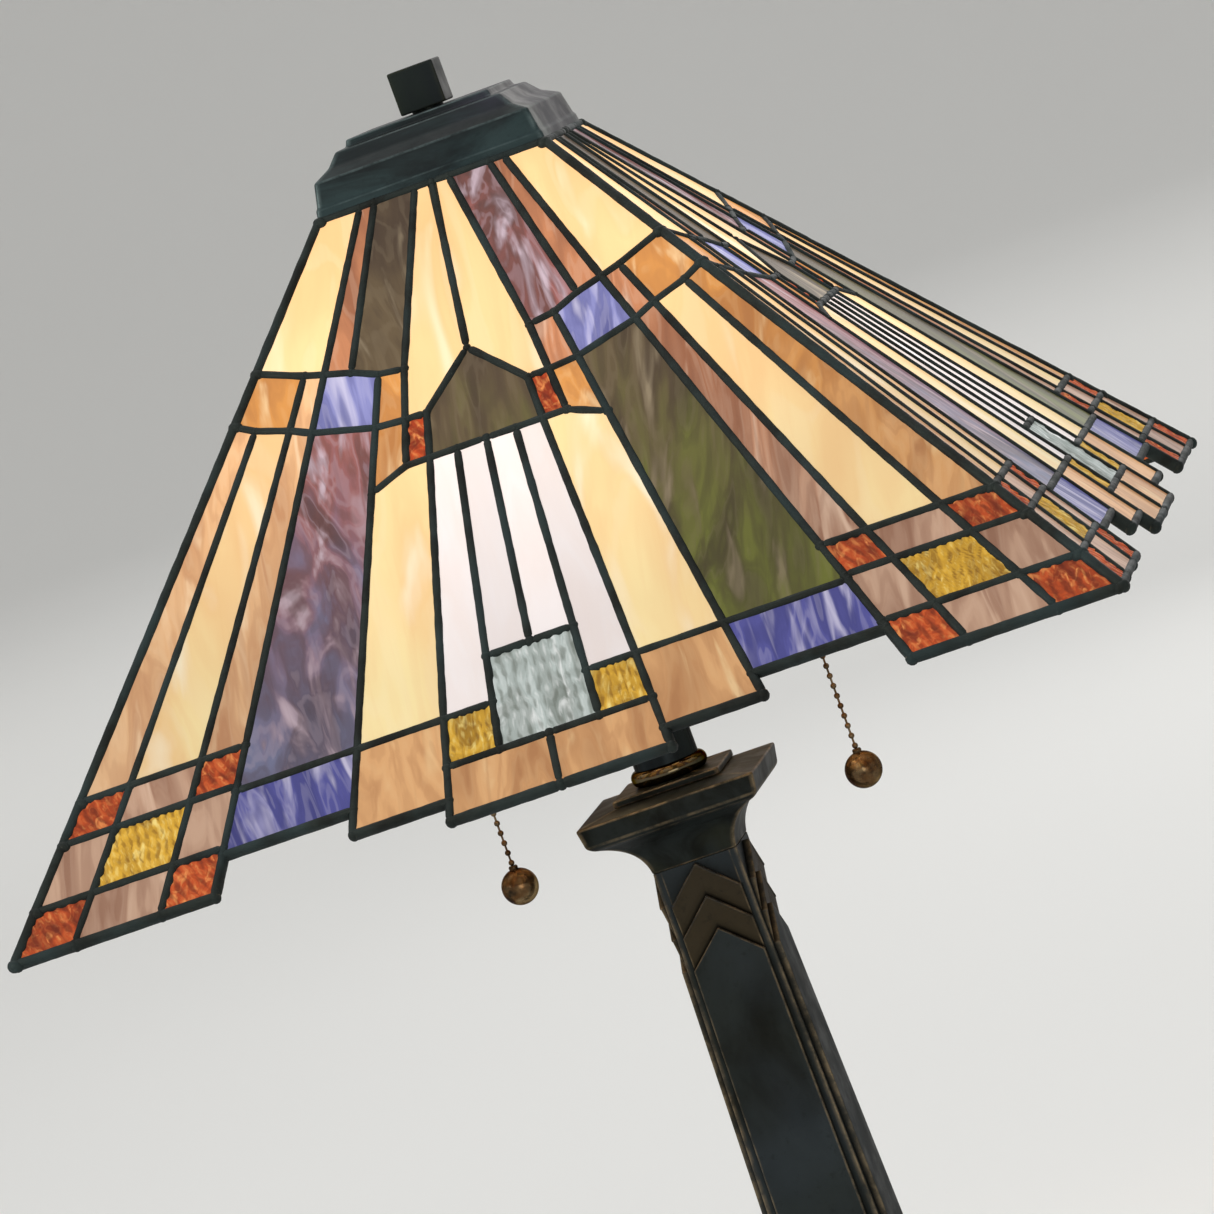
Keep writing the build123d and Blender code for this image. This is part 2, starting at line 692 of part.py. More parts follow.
def right_cells():
    """The glass of the right half of a panel, from the cap down: name of the piece to its outline."""
    top, foot = BAND_TOP, BAND_FOOT
    peak = at(COL_PEAK, ROW_TOP)
    knee = band(top, COL_RED)
    eave = at(COL_EAVE, ROW_HOUSE_EAVE)
    cells = {
        "crown_cream": [at(COL_BAND, ROW_TOP), at(COL_HIP, ROW_TOP), band(top, COL_HIP),
                        band(top, COL_STRIP), band(top, COL_BAND)],
        "crown_tan": [at(COL_SPLIT, ROW_TOP), at(COL_BAND, ROW_TOP), band(top, COL_BAND),
                      band(top, COL_SPLIT)],
        "crown_streak": [peak, at(COL_SPLIT, ROW_TOP), band(top, COL_SPLIT), band(top, COL_STREAK), knee],
        "crown_centre": [at(0, ROW_TOP), peak, knee, band(foot, COL_RED), eave, at(0, ROW_HOUSE_APEX)],
        "band_corner": [band(top, COL_STRIP), band(top, COL_HIP), band(foot, COL_HIP), band(foot, COL_EDGE),
                        band(foot, COL_STRIP)],
        "band_tan": [band(top, COL_BAND), band(top, COL_STRIP), band(foot, COL_STRIP), band(foot, COL_BAND)],
        "band_blue": [band(top, COL_STREAK), band(top, COL_SPLIT), band(top, COL_BAND), band(foot, COL_BAND),
                      band(foot, COL_STREAK)],
        "band_inner": [knee, band(top, COL_STREAK), band(foot, COL_STREAK), band(foot, COL_RED)],
        "eye_red": [eave, band(foot, COL_RED), at(COL_RED, ROW_HOUSE_FOOT), at(COL_EAVE, ROW_HOUSE_FOOT)],
        "eye_amber": [band(foot, COL_RED), band(foot, COL_STREAK), at(COL_STREAK, ROW_AMBER_FOOT),
                      at(COL_RED, ROW_HOUSE_FOOT)],
        "pane_cream": [at(COL_EAVE, ROW_HOUSE_FOOT), at(COL_RED, ROW_HOUSE_FOOT),
                       at(COL_STREAK, ROW_AMBER_FOOT), at(COL_STREAK, ROW_PANE_FOOT),
                       at(COL_WHITE, ROW_PANE_FOOT)],
        "pane_white_outer": [at(COL_INNER, ROW_HOUSE_FOOT), at(COL_EAVE, ROW_HOUSE_FOOT),
                             at(COL_WHITE, ROW_PANE_FOOT), at(COL_INNER, ROW_PANE_FOOT)],
        "pane_white_inner": box_cell(0, COL_INNER, ROW_CLEAR_TOP, ROW_HOUSE_FOOT),
        "foot_yellow": box_cell(COL_INNER, COL_WHITE, ROW_CLEAR_FOOT, ROW_PANE_FOOT),
        "foot_centre": box_cell(0, COL_WHITE, ROW_CENTRE_EDGE, ROW_CLEAR_FOOT),
        "foot_amber": box_cell(COL_WHITE, COL_STREAK, ROW_AMBER_EDGE, ROW_PANE_FOOT),
        "streak": [band(foot, COL_STREAK), band(foot, COL_BAND), at(COL_BAND, ROW_PANE_FOOT),
                   at(COL_STREAK, ROW_PANE_FOOT)],
        "foot_blue": box_cell(COL_STREAK, COL_BAND, ROW_BLUE_FOOT, ROW_PANE_FOOT),
        "strip_inner": [band(foot, COL_BAND), band(foot, COL_STRIP), at(COL_STRIP, ROW_CHECK_TOP),
                        at(COL_BAND, ROW_CHECK_TOP)],
        "strip_middle": [band(foot, COL_STRIP), band(foot, COL_EDGE), at(COL_EDGE, ROW_CHECK_TOP),
                         at(COL_STRIP, ROW_CHECK_TOP)],
        "strip_outer": [band(foot, COL_EDGE), band(foot, COL_HIP), at(COL_HIP, ROW_CHECK_TOP),
                        at(COL_EDGE, ROW_CHECK_TOP)],
    }
    columns = [COL_BAND, COL_STRIP, COL_EDGE, COL_HIP]
    rows = [ROW_CHECK_TOP, ROW_CHECK_HIGH, ROW_CHECK_LOW, ROW_CORNER]
    for i, (high, low) in enumerate(zip(rows, rows[1:])):
        for j, (left, right) in enumerate(zip(columns, columns[1:])):
            cells[f"check_{i}_{j}"] = box_cell(left, right, low, high)
    return cells


def house():
    """The five sided piece in the middle, whole."""
    right = [at(COL_EAVE, ROW_HOUSE_EAVE), at(COL_EAVE, ROW_HOUSE_FOOT)]
    return [at(0, ROW_HOUSE_APEX)] + right + [(-x, y) for x, y in right[::-1]]


# Which glass each piece is cut from. A pair is the left and the right half of the panel.
GLASS_OF = {
    "crown_cream": ("cream", "cream"), "crown_tan": ("tan", "tan"), "crown_streak": ("moss", "mauve"),
    "crown_centre": ("cream", "cream"), "band_corner": ("amber", "amber"), "band_tan": ("tan", "tan"),
    "band_blue": ("blue", "blue"), "band_inner": ("tan", "tan"), "eye_red": ("red_ripple", "red_ripple"),
    "eye_amber": ("amber", "amber"), "pane_cream": ("cream", "cream"), "pane_white_outer": ("white", "white"),
    "pane_white_inner": ("white", "white"), "foot_yellow": ("yellow_ripple", "yellow_ripple"),
    "foot_centre": ("amber", "amber"), "foot_amber": ("amber", "amber"), "streak": ("mauve", "moss"),
    "foot_blue": ("blue", "blue"), "strip_inner": ("tan", "tan"), "strip_middle": ("cream", "cream"),
    "strip_outer": ("tan", "amber"),
}
CHECK_GLASS = [
    ["red_ripple", "tan", "red_ripple"],
    ["tan", "yellow_ripple", "tan"],
    ["red_ripple", "tan", "red_ripple"],
]


def panel_cells():
    """Every piece of one panel: the name of its glass and its outline."""
    cells = [("moss", house()), ("clear_ripple", clear_square())]
    for name, outline in right_cells().items():
        if name.startswith("check"):
            row, column = (int(part) for part in name.split("_")[1:])
            left = right = CHECK_GLASS[row][column]
        else:
            left, right = GLASS_OF[name]
        cells.append((right, outline))
        cells.append((left, [(-x, y) for x, y in outline]))
    return cells


def clear_square():
    right = [at(COL_INNER, ROW_CLEAR_FOOT), at(COL_INNER, ROW_CLEAR_TOP)]
    return right + [(-x, y) for x, y in right[::-1]]


def panel_outline():
    """The edge of a panel: straight hips, and a lower edge that steps up, then down towards the middle."""
    right = [
        at(COL_HIP, ROW_TOP),
        at(COL_HIP, ROW_CORNER),
        at(COL_BAND, ROW_CORNER),
        at(COL_BAND, ROW_BLUE_FOOT),
        at(COL_STREAK, ROW_BLUE_FOOT),
        at(COL_STREAK, ROW_AMBER_EDGE),
        at(COL_WHITE, ROW_AMBER_EDGE),
        at(COL_WHITE, ROW_CENTRE_EDGE),
    ]
    return right + [(-x, y) for x, y in right[::-1]]


def panel_plane():
    """The outer face of the front panel's glass: X across, Y up the glass, Z outwards."""
    return Plane(origin=(0, -half_bottom, shade_z), x_dir=(1, 0, 0), z_dir=(0, -rise, lean))


def between_hips(gap):
    """What lies in front of the two diagonal planes, less half the gap between neighbouring panels."""
    reach = SHADE_WIDTH
    edge = gap * cos(pi / 4)
    wedge = make_face(Polyline((0, -edge), (reach, -edge - reach), (-reach, -edge - reach), close=True))
    return Pos(0, 0, shade_z - SHADE_HEIGHT) * extrude(wedge, 3 * SHADE_HEIGHT)


def slab(outline, low, high):
    """A plate on the front panel, from low to high outwards of the glass's outer face."""
    return panel_plane() * Pos(0, 0, low) * extrude(make_face(Polyline(*outline, close=True)), high - low)


def below_collar():
    room = Box(2 * SHADE_WIDTH, 2 * SHADE_WIDTH, 2 * SHADE_HEIGHT, align=UPRIGHT)
    return Pos(0, 0, shade_z - SHADE_HEIGHT) * room


def plain_panel():
    """A panel's whole thickness over the solder, with no glass cut out of it yet."""
    outline = grown(panel_outline(), LINE_WIDTH / 2)
    body = slab(outline, -GLASS_THICKNESS - FOIL_PROUD, FOIL_PROUD)
    return body & between_hips(HIP_GAP / 2) & below_collar()


def glass_piece(outline):
    """One piece of glass: its cell less half the solder line, plus the foil's lap."""
    whole = slab(grown(outline, FOIL_LAP - LINE_WIDTH / 2), -GLASS_THICKNESS, 0)
    return whole & between_hips(2 * HIP_GAP) & below_collar()


def window(outline):
    """The opening in the solder over one piece of glass."""
    clear = grown(outline, -LINE_WIDTH / 2)
    return slab(clear, -GLASS_THICKNESS - 2 * FOIL_PROUD, 2 * FOIL_PROUD) & between_hips(2 * HIP_BEAD_RADIUS)


def make_glass():
    """The glass of all four panels, by kind, and the openings that it needs in the front panel's solder."""
    by_kind = {}
    cuts = []
    for kind, outline in panel_cells():
        piece = glass_piece(outline)
        by_kind.setdefault(kind, []).extend(four_sides(piece))
        cuts.append(piece)
        cuts.append(window(outline))
    return by_kind, cuts


def make_hips():
    """A round bead along each hip, with the web that fills the gap between two panels."""
    foot = Vector(half_bottom, -half_bottom, shade_z)
    head = Vector(half_top, -half_top, collar_z)
    run = head - foot
    bar = Plane(origin=foot, z_dir=run) * Cylinder(HIP_BEAD_RADIUS, run.length, align=UPRIGHT)
    front = plain_panel()
    right = Rot(0, 0, 90) * front
    bead = (bar & below_collar()) - front - right
    return four_sides(bead)


def make_collar():
    half = half_top - COLLAR_INSET
    plate = Pos(0, 0, collar_z + COLLAR_THICKNESS / 2) * Box(2 * half, 2 * half, COLLAR_THICKNESS)
    return plate - disc(riser_hole, collar_z, COLLAR_THICKNESS)


def cap_outline(wall):
    """The half section of the cap, set in by its wall: skirt, rim, hollow shoulder, tier and top plate."""
    half = half_top - wall
    z = collar_z
    points = [(half, z)]
    for step_in, lift in (
        (CAP_SKIRT_TAPER, CAP_SKIRT_HEIGHT),
        (CAP_RIM_SET_IN - CAP_SKIRT_TAPER, CAP_LEDGE_RISE),
        (CAP_RIM_TAPER, CAP_RIM_HEIGHT - CAP_LEDGE_RISE - wall),
        (CAP_SHOULDER_IN, CAP_SHOULDER_HEIGHT),
        (CAP_TIER_IN, CAP_TIER_HEIGHT),
        (CAP_PLATE_IN, CAP_PLATE_RISE),
        (CAP_PLATE_TAPER, CAP_PLATE_HEIGHT - CAP_PLATE_RISE),
    ):
        half -= step_in
        z += lift
        points.append((half, z))
    return stepped(points)


def make_cap():
    body = square_body(cap_outline(0)) - square_body(cap_outline(CAP_WALL))
    return body - disc(riser_hole, collar_z, SHADE_HEIGHT)


def make_finial():
    block = Pos(0, 0, finial_z + FINIAL_HEIGHT / 2) * Box(FINIAL_WIDTH, FINIAL_WIDTH, FINIAL_HEIGHT)
    block = chamfer(block.edges(), FINIAL_EDGE)
    block += disc(FINIAL_BOSS_RADIUS, cap_top_z, FINIAL_BOSS_HEIGHT)
    return block - disc(riser_hole, cap_top_z, FINIAL_HOLE_DEPTH)


# ---------------------------------------------------------------- the whole lamp
def lamp():
    """Every node of the lamp, by name."""
    nodes = {
        "felt_pad": make_felt(),
        "cover_plate": make_cover(),
        "ballast": make_ballast(),
        "plinth": make_plinth(),
        "cord_bushing": make_bushing(),
        "foot_block": make_foot_block(),
        "shaft": make_shaft(),
        "capital": make_capital(),
        "neck_plate": make_neck_plate(),
        "neck_ring": make_ring(),
        "neck_tube": make_neck_tube(),
        "stem_pipe": make_stem_pipe(),
        "stem_washer": make_stem_washer(),
        "stem_nut": make_stem_nut(),
        "cluster_body": make_cluster_body(),
        "riser_coupling": make_riser_coupling(),
        "riser_rod": make_riser_rod(),
        "seat_nut": make_seat_nut(),
        "seat_washer": make_seat_washer(),
        "shade_collar": make_collar(),
        "cap": make_cap(),
        "finial": make_finial(),
        "hip_solder": make_hips(),
    }
    for name, side in (("left", -1), ("right", 1)):
        nodes[f"cluster_arm_{name}"] = make_arm(side)
        nodes[f"socket_cap_{name}"] = make_socket_cap(side)
        nodes[f"socket_shell_{name}"] = make_socket_shell(side)
        nodes[f"socket_interior_{name}"] = make_socket_interior(side)
        nodes[f"chain_guide_{name}"] = make_guide(side)
        nodes[f"bulb_base_{name}"] = make_bulb_base(side)
        nodes[f"bulb_globe_{name}"] = make_bulb_globe(side)
        nodes[f"pull_link_{name}"] = make_pull_link(side)
        nodes[f"chain_upper_{name}"] = make_upper_chain(side)
        nodes[f"chain_lower_{name}"] = make_lower_chain(side)
        nodes[f"ball_pull_{name}"] = make_ball_pull(side)
    by_kind, cuts = make_glass()
    for kind, pieces in by_kind.items():
        nodes[f"glass_{kind}"] = pieces
    came = plain_panel() - cuts
    for name, panel in zip(("front", "right", "back", "left"), four_sides(came)):
        nodes[f"came_{name}"] = panel
    return nodes


def main():
    os.makedirs("parts", exist_ok=True)
    for name, shape in lamp().items():
        solids = shape if isinstance(shape, list) else [shape]
        pieces = [solid for part in solids for solid in part.solids()]
        whole = pieces[0] if len(pieces) == 1 else Compound(children=pieces)
        export_step(whole, f"parts/{name}.step")


main()
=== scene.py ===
"""The looks of a table lamp with a leaded glass shade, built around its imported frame.

Metres, +Z up, the front of the lamp towards -Y. Every surface is worked out with numpy from the sizes in
the property groups below and from the boxes of the frame's own nodes.
"""

import bpy
import numpy as np
from bpy.props import FloatProperty, FloatVectorProperty, PointerProperty
from bpy.types import Operator, Panel, PropertyGroup
from mathutils import Matrix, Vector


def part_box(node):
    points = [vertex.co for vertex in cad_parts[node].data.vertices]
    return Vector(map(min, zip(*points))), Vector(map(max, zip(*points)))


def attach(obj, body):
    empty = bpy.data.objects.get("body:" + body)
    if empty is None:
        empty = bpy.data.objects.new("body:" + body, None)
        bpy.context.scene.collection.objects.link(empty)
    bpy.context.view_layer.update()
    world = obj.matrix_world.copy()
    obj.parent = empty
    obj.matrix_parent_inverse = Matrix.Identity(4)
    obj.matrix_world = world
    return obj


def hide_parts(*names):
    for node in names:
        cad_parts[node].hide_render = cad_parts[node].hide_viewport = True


bl_info = {
    "name": "Leaded glass table lamp",
    "version": (1, 0, 0),
    "blender": (4, 5, 0),
    "location": "3D View > Sidebar > Lamp",
    "description": "Glass, solder, patina, chains and stage of a leaded glass table lamp",
    "category": "Object",
}

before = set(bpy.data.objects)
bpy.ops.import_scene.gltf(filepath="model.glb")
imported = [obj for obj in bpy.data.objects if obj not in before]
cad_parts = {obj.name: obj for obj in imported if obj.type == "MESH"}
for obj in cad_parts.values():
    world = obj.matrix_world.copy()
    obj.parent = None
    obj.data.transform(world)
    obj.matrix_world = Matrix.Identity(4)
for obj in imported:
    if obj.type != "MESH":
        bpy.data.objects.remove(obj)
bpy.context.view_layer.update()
MM = 0.001

# ---------------------------------------------------------------- the cartoon of one panel
# Rows are heights up the glass in millimetres on a cartoon of CARTOON_HEIGHT, which is scaled to the
# panel, and columns are shares of the half width at each height.
CARTOON_HEIGHT = 256.3
TOP, APEX, EAVE_ROW, HOUSE_FOOT, AMBER_FOOT = 256.3, 182.0, 161.2, 142.5, 136.0
CLEAR_TOP, CHECK_TOP, CHECK_HIGH, PANE_FOOT, CLEAR_FOOT = 56.3, 54.0, 39.5, 37.4, 18.4
CHECK_LOW, BLUE_FOOT, AMBER_EDGE, CORNER, CENTRE_EDGE = 17.2, 14.6, 5.5, 0.0, -2.0
INNER, PEAK, EAVE, WHITE, RED, STREAK = 0.096, 0.146, 0.186, 0.197, 0.265, 0.376
SPLIT, BAND, STRIP, EDGE, HIP = 0.50, 0.628, 0.727, 0.885, 1.0
BAND_TOP = [(RED, 182.3), (STREAK, 183.8), (SPLIT, 188.5), (BAND, 191.6), (STRIP, 194.0), (HIP, 202.0)]
BAND_FOOT = [(RED, 161.4), (STREAK, 162.4), (BAND, 169.4), (STRIP, 173.6), (EDGE, 178.4), (HIP, 183.3)]
SIDES = ("front", "right", "back", "left")

# The pieces of the right half, and their mirror images. Each names its glass on the left half and on the
# right half, and is ruled between a lower and an upper chain of (column, row) points.
HALF_CELLS = [
    ("cream", "cream", [(BAND, 191.6), (STRIP, 194.0), (HIP, 202.0)], [(BAND, TOP), (HIP, TOP)]),
    ("tan", "tan", [(SPLIT, 188.5), (BAND, 191.6)], [(SPLIT, TOP), (BAND, TOP)]),
    ("moss", "mauve", BAND_TOP[:3], [(PEAK, TOP), (SPLIT, TOP)]),
    ("cream", "cream", [(0, APEX), (EAVE, EAVE_ROW), (RED, 161.4)], [(0, TOP), (PEAK, TOP), (RED, 182.3)]),
    ("amber", "amber", BAND_FOOT[3:], BAND_TOP[4:]),
    ("peach", "tan", BAND_FOOT[2:4], BAND_TOP[3:5]),
    ("blue", "blue", BAND_FOOT[1:3], BAND_TOP[1:4]),
    ("amber", "tan", BAND_FOOT[:2], BAND_TOP[:2]),
    ("red_ripple", "red_ripple", [(EAVE, HOUSE_FOOT), (RED, HOUSE_FOOT)], [(EAVE, EAVE_ROW), (RED, 161.4)]),
    ("amber", "amber", [(RED, HOUSE_FOOT), (STREAK, AMBER_FOOT)], BAND_FOOT[:2]),
    ("cream", "cream", [(WHITE, PANE_FOOT), (STREAK, PANE_FOOT)],
     [(EAVE, HOUSE_FOOT), (RED, HOUSE_FOOT), (STREAK, AMBER_FOOT)]),
    ("white", "white", [(INNER, PANE_FOOT), (WHITE, PANE_FOOT)], [(INNER, HOUSE_FOOT), (EAVE, HOUSE_FOOT)]),
    ("white", "white", [(0, CLEAR_TOP), (INNER, CLEAR_TOP)], [(0, HOUSE_FOOT), (INNER, HOUSE_FOOT)]),
    ("yellow_ripple", "yellow_ripple", [(INNER, CLEAR_FOOT), (WHITE, CLEAR_FOOT)],
     [(INNER, PANE_FOOT), (WHITE, PANE_FOOT)]),
    ("amber", "amber", [(0, CENTRE_EDGE), (WHITE, CENTRE_EDGE)], [(0, CLEAR_FOOT), (WHITE, CLEAR_FOOT)]),
    ("amber", "amber", [(WHITE, AMBER_EDGE), (STREAK, AMBER_EDGE)],
     [(WHITE, PANE_FOOT), (STREAK, PANE_FOOT)]),
    ("mauve", "moss", [(STREAK, PANE_FOOT), (BAND, PANE_FOOT)], BAND_FOOT[1:3]),
    ("blue", "blue", [(STREAK, BLUE_FOOT), (BAND, BLUE_FOOT)], [(STREAK, PANE_FOOT), (BAND, PANE_FOOT)]),
    ("peach", "tan", [(BAND, CHECK_TOP), (STRIP, CHECK_TOP)], BAND_FOOT[2:4]),
    ("cream", "cream", [(STRIP, CHECK_TOP), (EDGE, CHECK_TOP)], BAND_FOOT[3:5]),
    ("peach", "amber", [(EDGE, CHECK_TOP), (HIP, CHECK_TOP)], BAND_FOOT[4:]),
]
# The checkered corner of three rows of three, from the top down and from the middle out.
CHECK_GLASS = (
    ("red_ripple", "tan", "red_ripple"),
    ("tan", "yellow_ripple", "tan"),
    ("red_ripple", "tan", "red_ripple"),
)
CHECK_COLUMNS = (BAND, STRIP, EDGE, HIP)
CHECK_ROWS = (CHECK_TOP, CHECK_HIGH, CHECK_LOW, CORNER)

# The solder lines of the right half, and those on the middle line.
HALF_LINES = [
    [(0, APEX), (EAVE, EAVE_ROW), (EAVE, HOUSE_FOOT), (WHITE, PANE_FOOT), (WHITE, CENTRE_EDGE)],
    [(0, HOUSE_FOOT), (INNER, HOUSE_FOOT), (EAVE, HOUSE_FOOT), (RED, HOUSE_FOOT), (STREAK, AMBER_FOOT)],
    [(PEAK, TOP), (RED, 182.3), (RED, 161.4), (RED, HOUSE_FOOT)],
    [(EAVE, EAVE_ROW)] + BAND_FOOT,
    BAND_TOP,
    [(SPLIT, TOP), (SPLIT, 188.5)],
    [(BAND, TOP), (BAND, 191.6), (BAND, 169.4), (BAND, CORNER)],
    [(STRIP, 194.0), (STRIP, 173.6), (STRIP, CORNER)],
    [(EDGE, 178.4), (EDGE, CORNER)],
    [(STREAK, 183.8), (STREAK, 162.4), (STREAK, AMBER_FOOT), (STREAK, PANE_FOOT), (STREAK, AMBER_EDGE)],
    [(INNER, PANE_FOOT), (WHITE, PANE_FOOT), (STREAK, PANE_FOOT), (BAND, PANE_FOOT)],
    [(INNER, HOUSE_FOOT), (INNER, CLEAR_FOOT)],
    [(0, CLEAR_TOP), (INNER, CLEAR_TOP)],
    [(0, CLEAR_FOOT), (INNER, CLEAR_FOOT), (WHITE, CLEAR_FOOT)],
    [(BAND, CHECK_TOP), (STRIP, CHECK_TOP), (EDGE, CHECK_TOP), (HIP, CHECK_TOP)],
    [(BAND, CHECK_HIGH), (STRIP, CHECK_HIGH), (EDGE, CHECK_HIGH), (HIP, CHECK_HIGH)],
    [(BAND, CHECK_LOW), (STRIP, CHECK_LOW), (EDGE, CHECK_LOW), (HIP, CHECK_LOW)],
    [(0, TOP), (HIP, TOP)],
    [(HIP, CORNER), (BAND, CORNER), (BAND, BLUE_FOOT), (STREAK, BLUE_FOOT), (STREAK, AMBER_EDGE),
     (WHITE, AMBER_EDGE), (WHITE, CENTRE_EDGE), (0, CENTRE_EDGE)],
]
MIDDLE_LINES = [
    [(0, TOP), (0, APEX)],
    [(0, HOUSE_FOOT), (0, CLEAR_TOP)],
    [(0, CLEAR_FOOT), (0, CENTRE_EDGE)],
]


# ---------------------------------------------------------------- properties
def linear(red, green, blue):
    """A display colour, each part from 0 to 255, as scene-linear light."""
    share = np.array((red, green, blue)) / 255
    return tuple(np.where(share > 0.04045, ((share + 0.055) / 1.055) ** 2.4, share / 12.92).tolist())


def length(name, description, millimetres):
    return FloatProperty(name=name, description=description, default=millimetres * MM, unit="LENGTH",
                         precision=4)


def tint(name, description, *display):
    return FloatVectorProperty(name=name, description=description, default=linear(*display),
                               subtype="COLOR", size=3, min=0, max=1)


def power(name, description, watts):
    return FloatProperty(name=name, description=description, default=watts, unit="POWER")


class ShadeSizes(PropertyGroup):
    """Sizes of the glass shade."""
    width: length("Width", "Width of the shade between the lower corners of the glass", 406)
    top_width: length("Top width", "Width of the shade where the cap meets it", 88.7)
    height: length("Height", "Height of the glass, from the corners to the cap", 201.3)
    glass: length("Glass thickness", "Thickness of the sheets", 3)
    line: length("Solder line", "Width of a solder line", 2.9)
    proud: length("Solder height", "How far the solder stands proud of the glass", 1)
    hip: length("Hip bead", "Radius of the bead along each hip", 1.9)
    ripple: length("Ripple", "Depth of the ridges in rippled glass", 0.5)


class ColumnSizes(PropertyGroup):
    """Sizes of the column."""
    panel_proud: length("Panel proud", "How far the column's panels stand out of its core", 2.6)
    panel_foot: length("Panel foot", "Width of a panel at the foot", 36.6)
    panel_neck: length("Panel neck", "Width of a panel at the neck", 27.2)
    core_neck: length("Core neck", "Width of the core at the neck", 32.8)
    core_foot: length("Core foot", "Width of the core at the foot", 46.4)
    chevron_pitch: length("Chevron pitch", "Distance between the chevrons' peaks", 12.6)
    chevron_fall: length("Chevron fall", "How far a chevron falls from its peak to its ends", 12.6)
    edge: length("Edge", "Radius of the cast edges", 0.7)


# The colours of each glass: its body near the rim and near the cap, its deep parts and its wisps.
GLASS_COLOURS = {
    "cream": ((253, 230, 170), (248, 206, 146), (236, 180, 122), (255, 242, 212)),
    "white": ((248, 238, 236), (246, 230, 222), (234, 212, 200), (252, 250, 252)),
    "tan": ((198, 160, 134), (186, 122, 84), (126, 78, 56), (224, 190, 164)),
    "amber": ((226, 172, 118), (212, 144, 74), (158, 100, 60), (240, 202, 150)),
    "peach": ((222, 178, 134), (228, 176, 126), (172, 112, 76), (246, 216, 176)),
    "mauve": ((112, 114, 142), (142, 86, 80), (72, 50, 46), (190, 170, 180)),
    "moss": ((112, 116, 48), (94, 78, 56), (62, 48, 38), (148, 132, 106)),
    "blue": ((84, 84, 152), (136, 136, 188), (52, 52, 108), (204, 198, 222)),
    "red_ripple": ((196, 80, 32), (186, 66, 22), (96, 30, 12), (246, 156, 86)),
    "yellow_ripple": ((228, 176, 56), (218, 160, 42), (116, 74, 18), (255, 230, 140)),
    "clear_ripple": ((196, 206, 202), (196, 206, 202), (108, 114, 104), (250, 252, 250)),
}


class GlassColours(PropertyGroup):
    """Four colours for each glass, and the strength of the light through all of them."""
    glow: FloatProperty(name="Glow", description="Strength of the light through the glass", default=0.86,
                        min=0)


GLASS_PARTS = ("rim", "crown", "deep", "wisp")
for glass_name, parts in GLASS_COLOURS.items():
    for part, display in zip(GLASS_PARTS, parts):
        words = f"{glass_name} {part}".replace("_", " ")
        described = f"Colour of the {part} part of the {glass_name.replace('_', ' ')} glass"
        GlassColours.__annotations__[f"{glass_name}_{part}"] = tint(words.capitalize(), described, *display)


class MetalColours(PropertyGroup):
    """Colours of the metals and their patinas."""
    bronze: tint("Bronze", "Slate patina of the base and column", 37, 43, 43)
    bronze_deep: tint("Bronze deep", "Dark parts of the patina", 20, 23, 22)
    bronze_bloom: tint("Bronze bloom", "Blue grey bloom on the patina", 50, 58, 64)
    olive: tint("Olive", "Olive gold patina on the capital", 46, 48, 35)
    chevron: tint("Chevron", "Olive brown of the chevrons", 58, 50, 36)
    ring: tint("Neck ring", "Polished bronze of the neck ring", 104, 92, 66)
    # Also the painted highlight along the cast edges, where the wear value is high.
    copper: tint("Worn copper", "Metal that shows where the edges are worn", 138, 122, 96)
    cap: tint("Cap", "Blue green patina of the cap", 44, 58, 60)
    cap_deep: tint("Cap deep", "Dark parts of the cap", 28, 34, 37)
    cap_bloom: tint("Cap bloom", "Purple bloom on the cap", 62, 58, 72)
    # Also the painted highlight along the cap's ledges.
    cap_worn_and_lit: tint("Cap worn", "Edges of the cap where the patina is thin", 92, 106, 106)
    finial: tint("Finial", "Dark green patina of the finial", 32, 40, 38)
    finial_bloom: tint("Finial bloom", "Olive grey bloom on the finial", 44, 48, 42)
    solder: tint("Solder", "Black patina on the solder", 38, 45, 44)
    solder_deep: tint("Solder deep", "Dark parts of the solder", 26, 29, 29)
    brass: tint("Antique brass", "Brass of the sockets and chains", 98, 68, 40)
    brass_deep: tint("Brass deep", "Tarnish on the brass", 40, 29, 22)
    brass_bright: tint("Brass bright", "Polished spots of the brass", 176, 152, 112)
    steel: tint("Steel", "Zinc plate of the pipe and nuts", 168, 168, 164)
    iron: tint("Iron", "Cast ballast", 70, 68, 66)


class StageSettings(PropertyGroup):
    """The floor and the lights."""
    floor: tint("Floor", "Colour of the floor and the wall round it", 238, 237, 234)
    floor_radius: FloatProperty(name="Floor radius", description="Where the floor turns up", default=9.0,
                                unit="LENGTH")
    key: power("Key light", "Power of the key light", 46)
    fill: power("Fill light", "Power of the fill light and of the top light", 20)
    backdrop: power("Backdrop light", "Power of the light on the wall behind", 60)
    lamp: power("Bulbs", "Power of each bulb", 0.9)


class LampSettings(PropertyGroup):
    """Everything that shapes and colours the lamp."""
    shade: PointerProperty(type=ShadeSizes)
    column: PointerProperty(type=ColumnSizes)
    glass: PointerProperty(type=GlassColours)
    metal: PointerProperty(type=MetalColours)
    stage: PointerProperty(type=StageSettings)


def settings():
    return bpy.context.scene.lamp


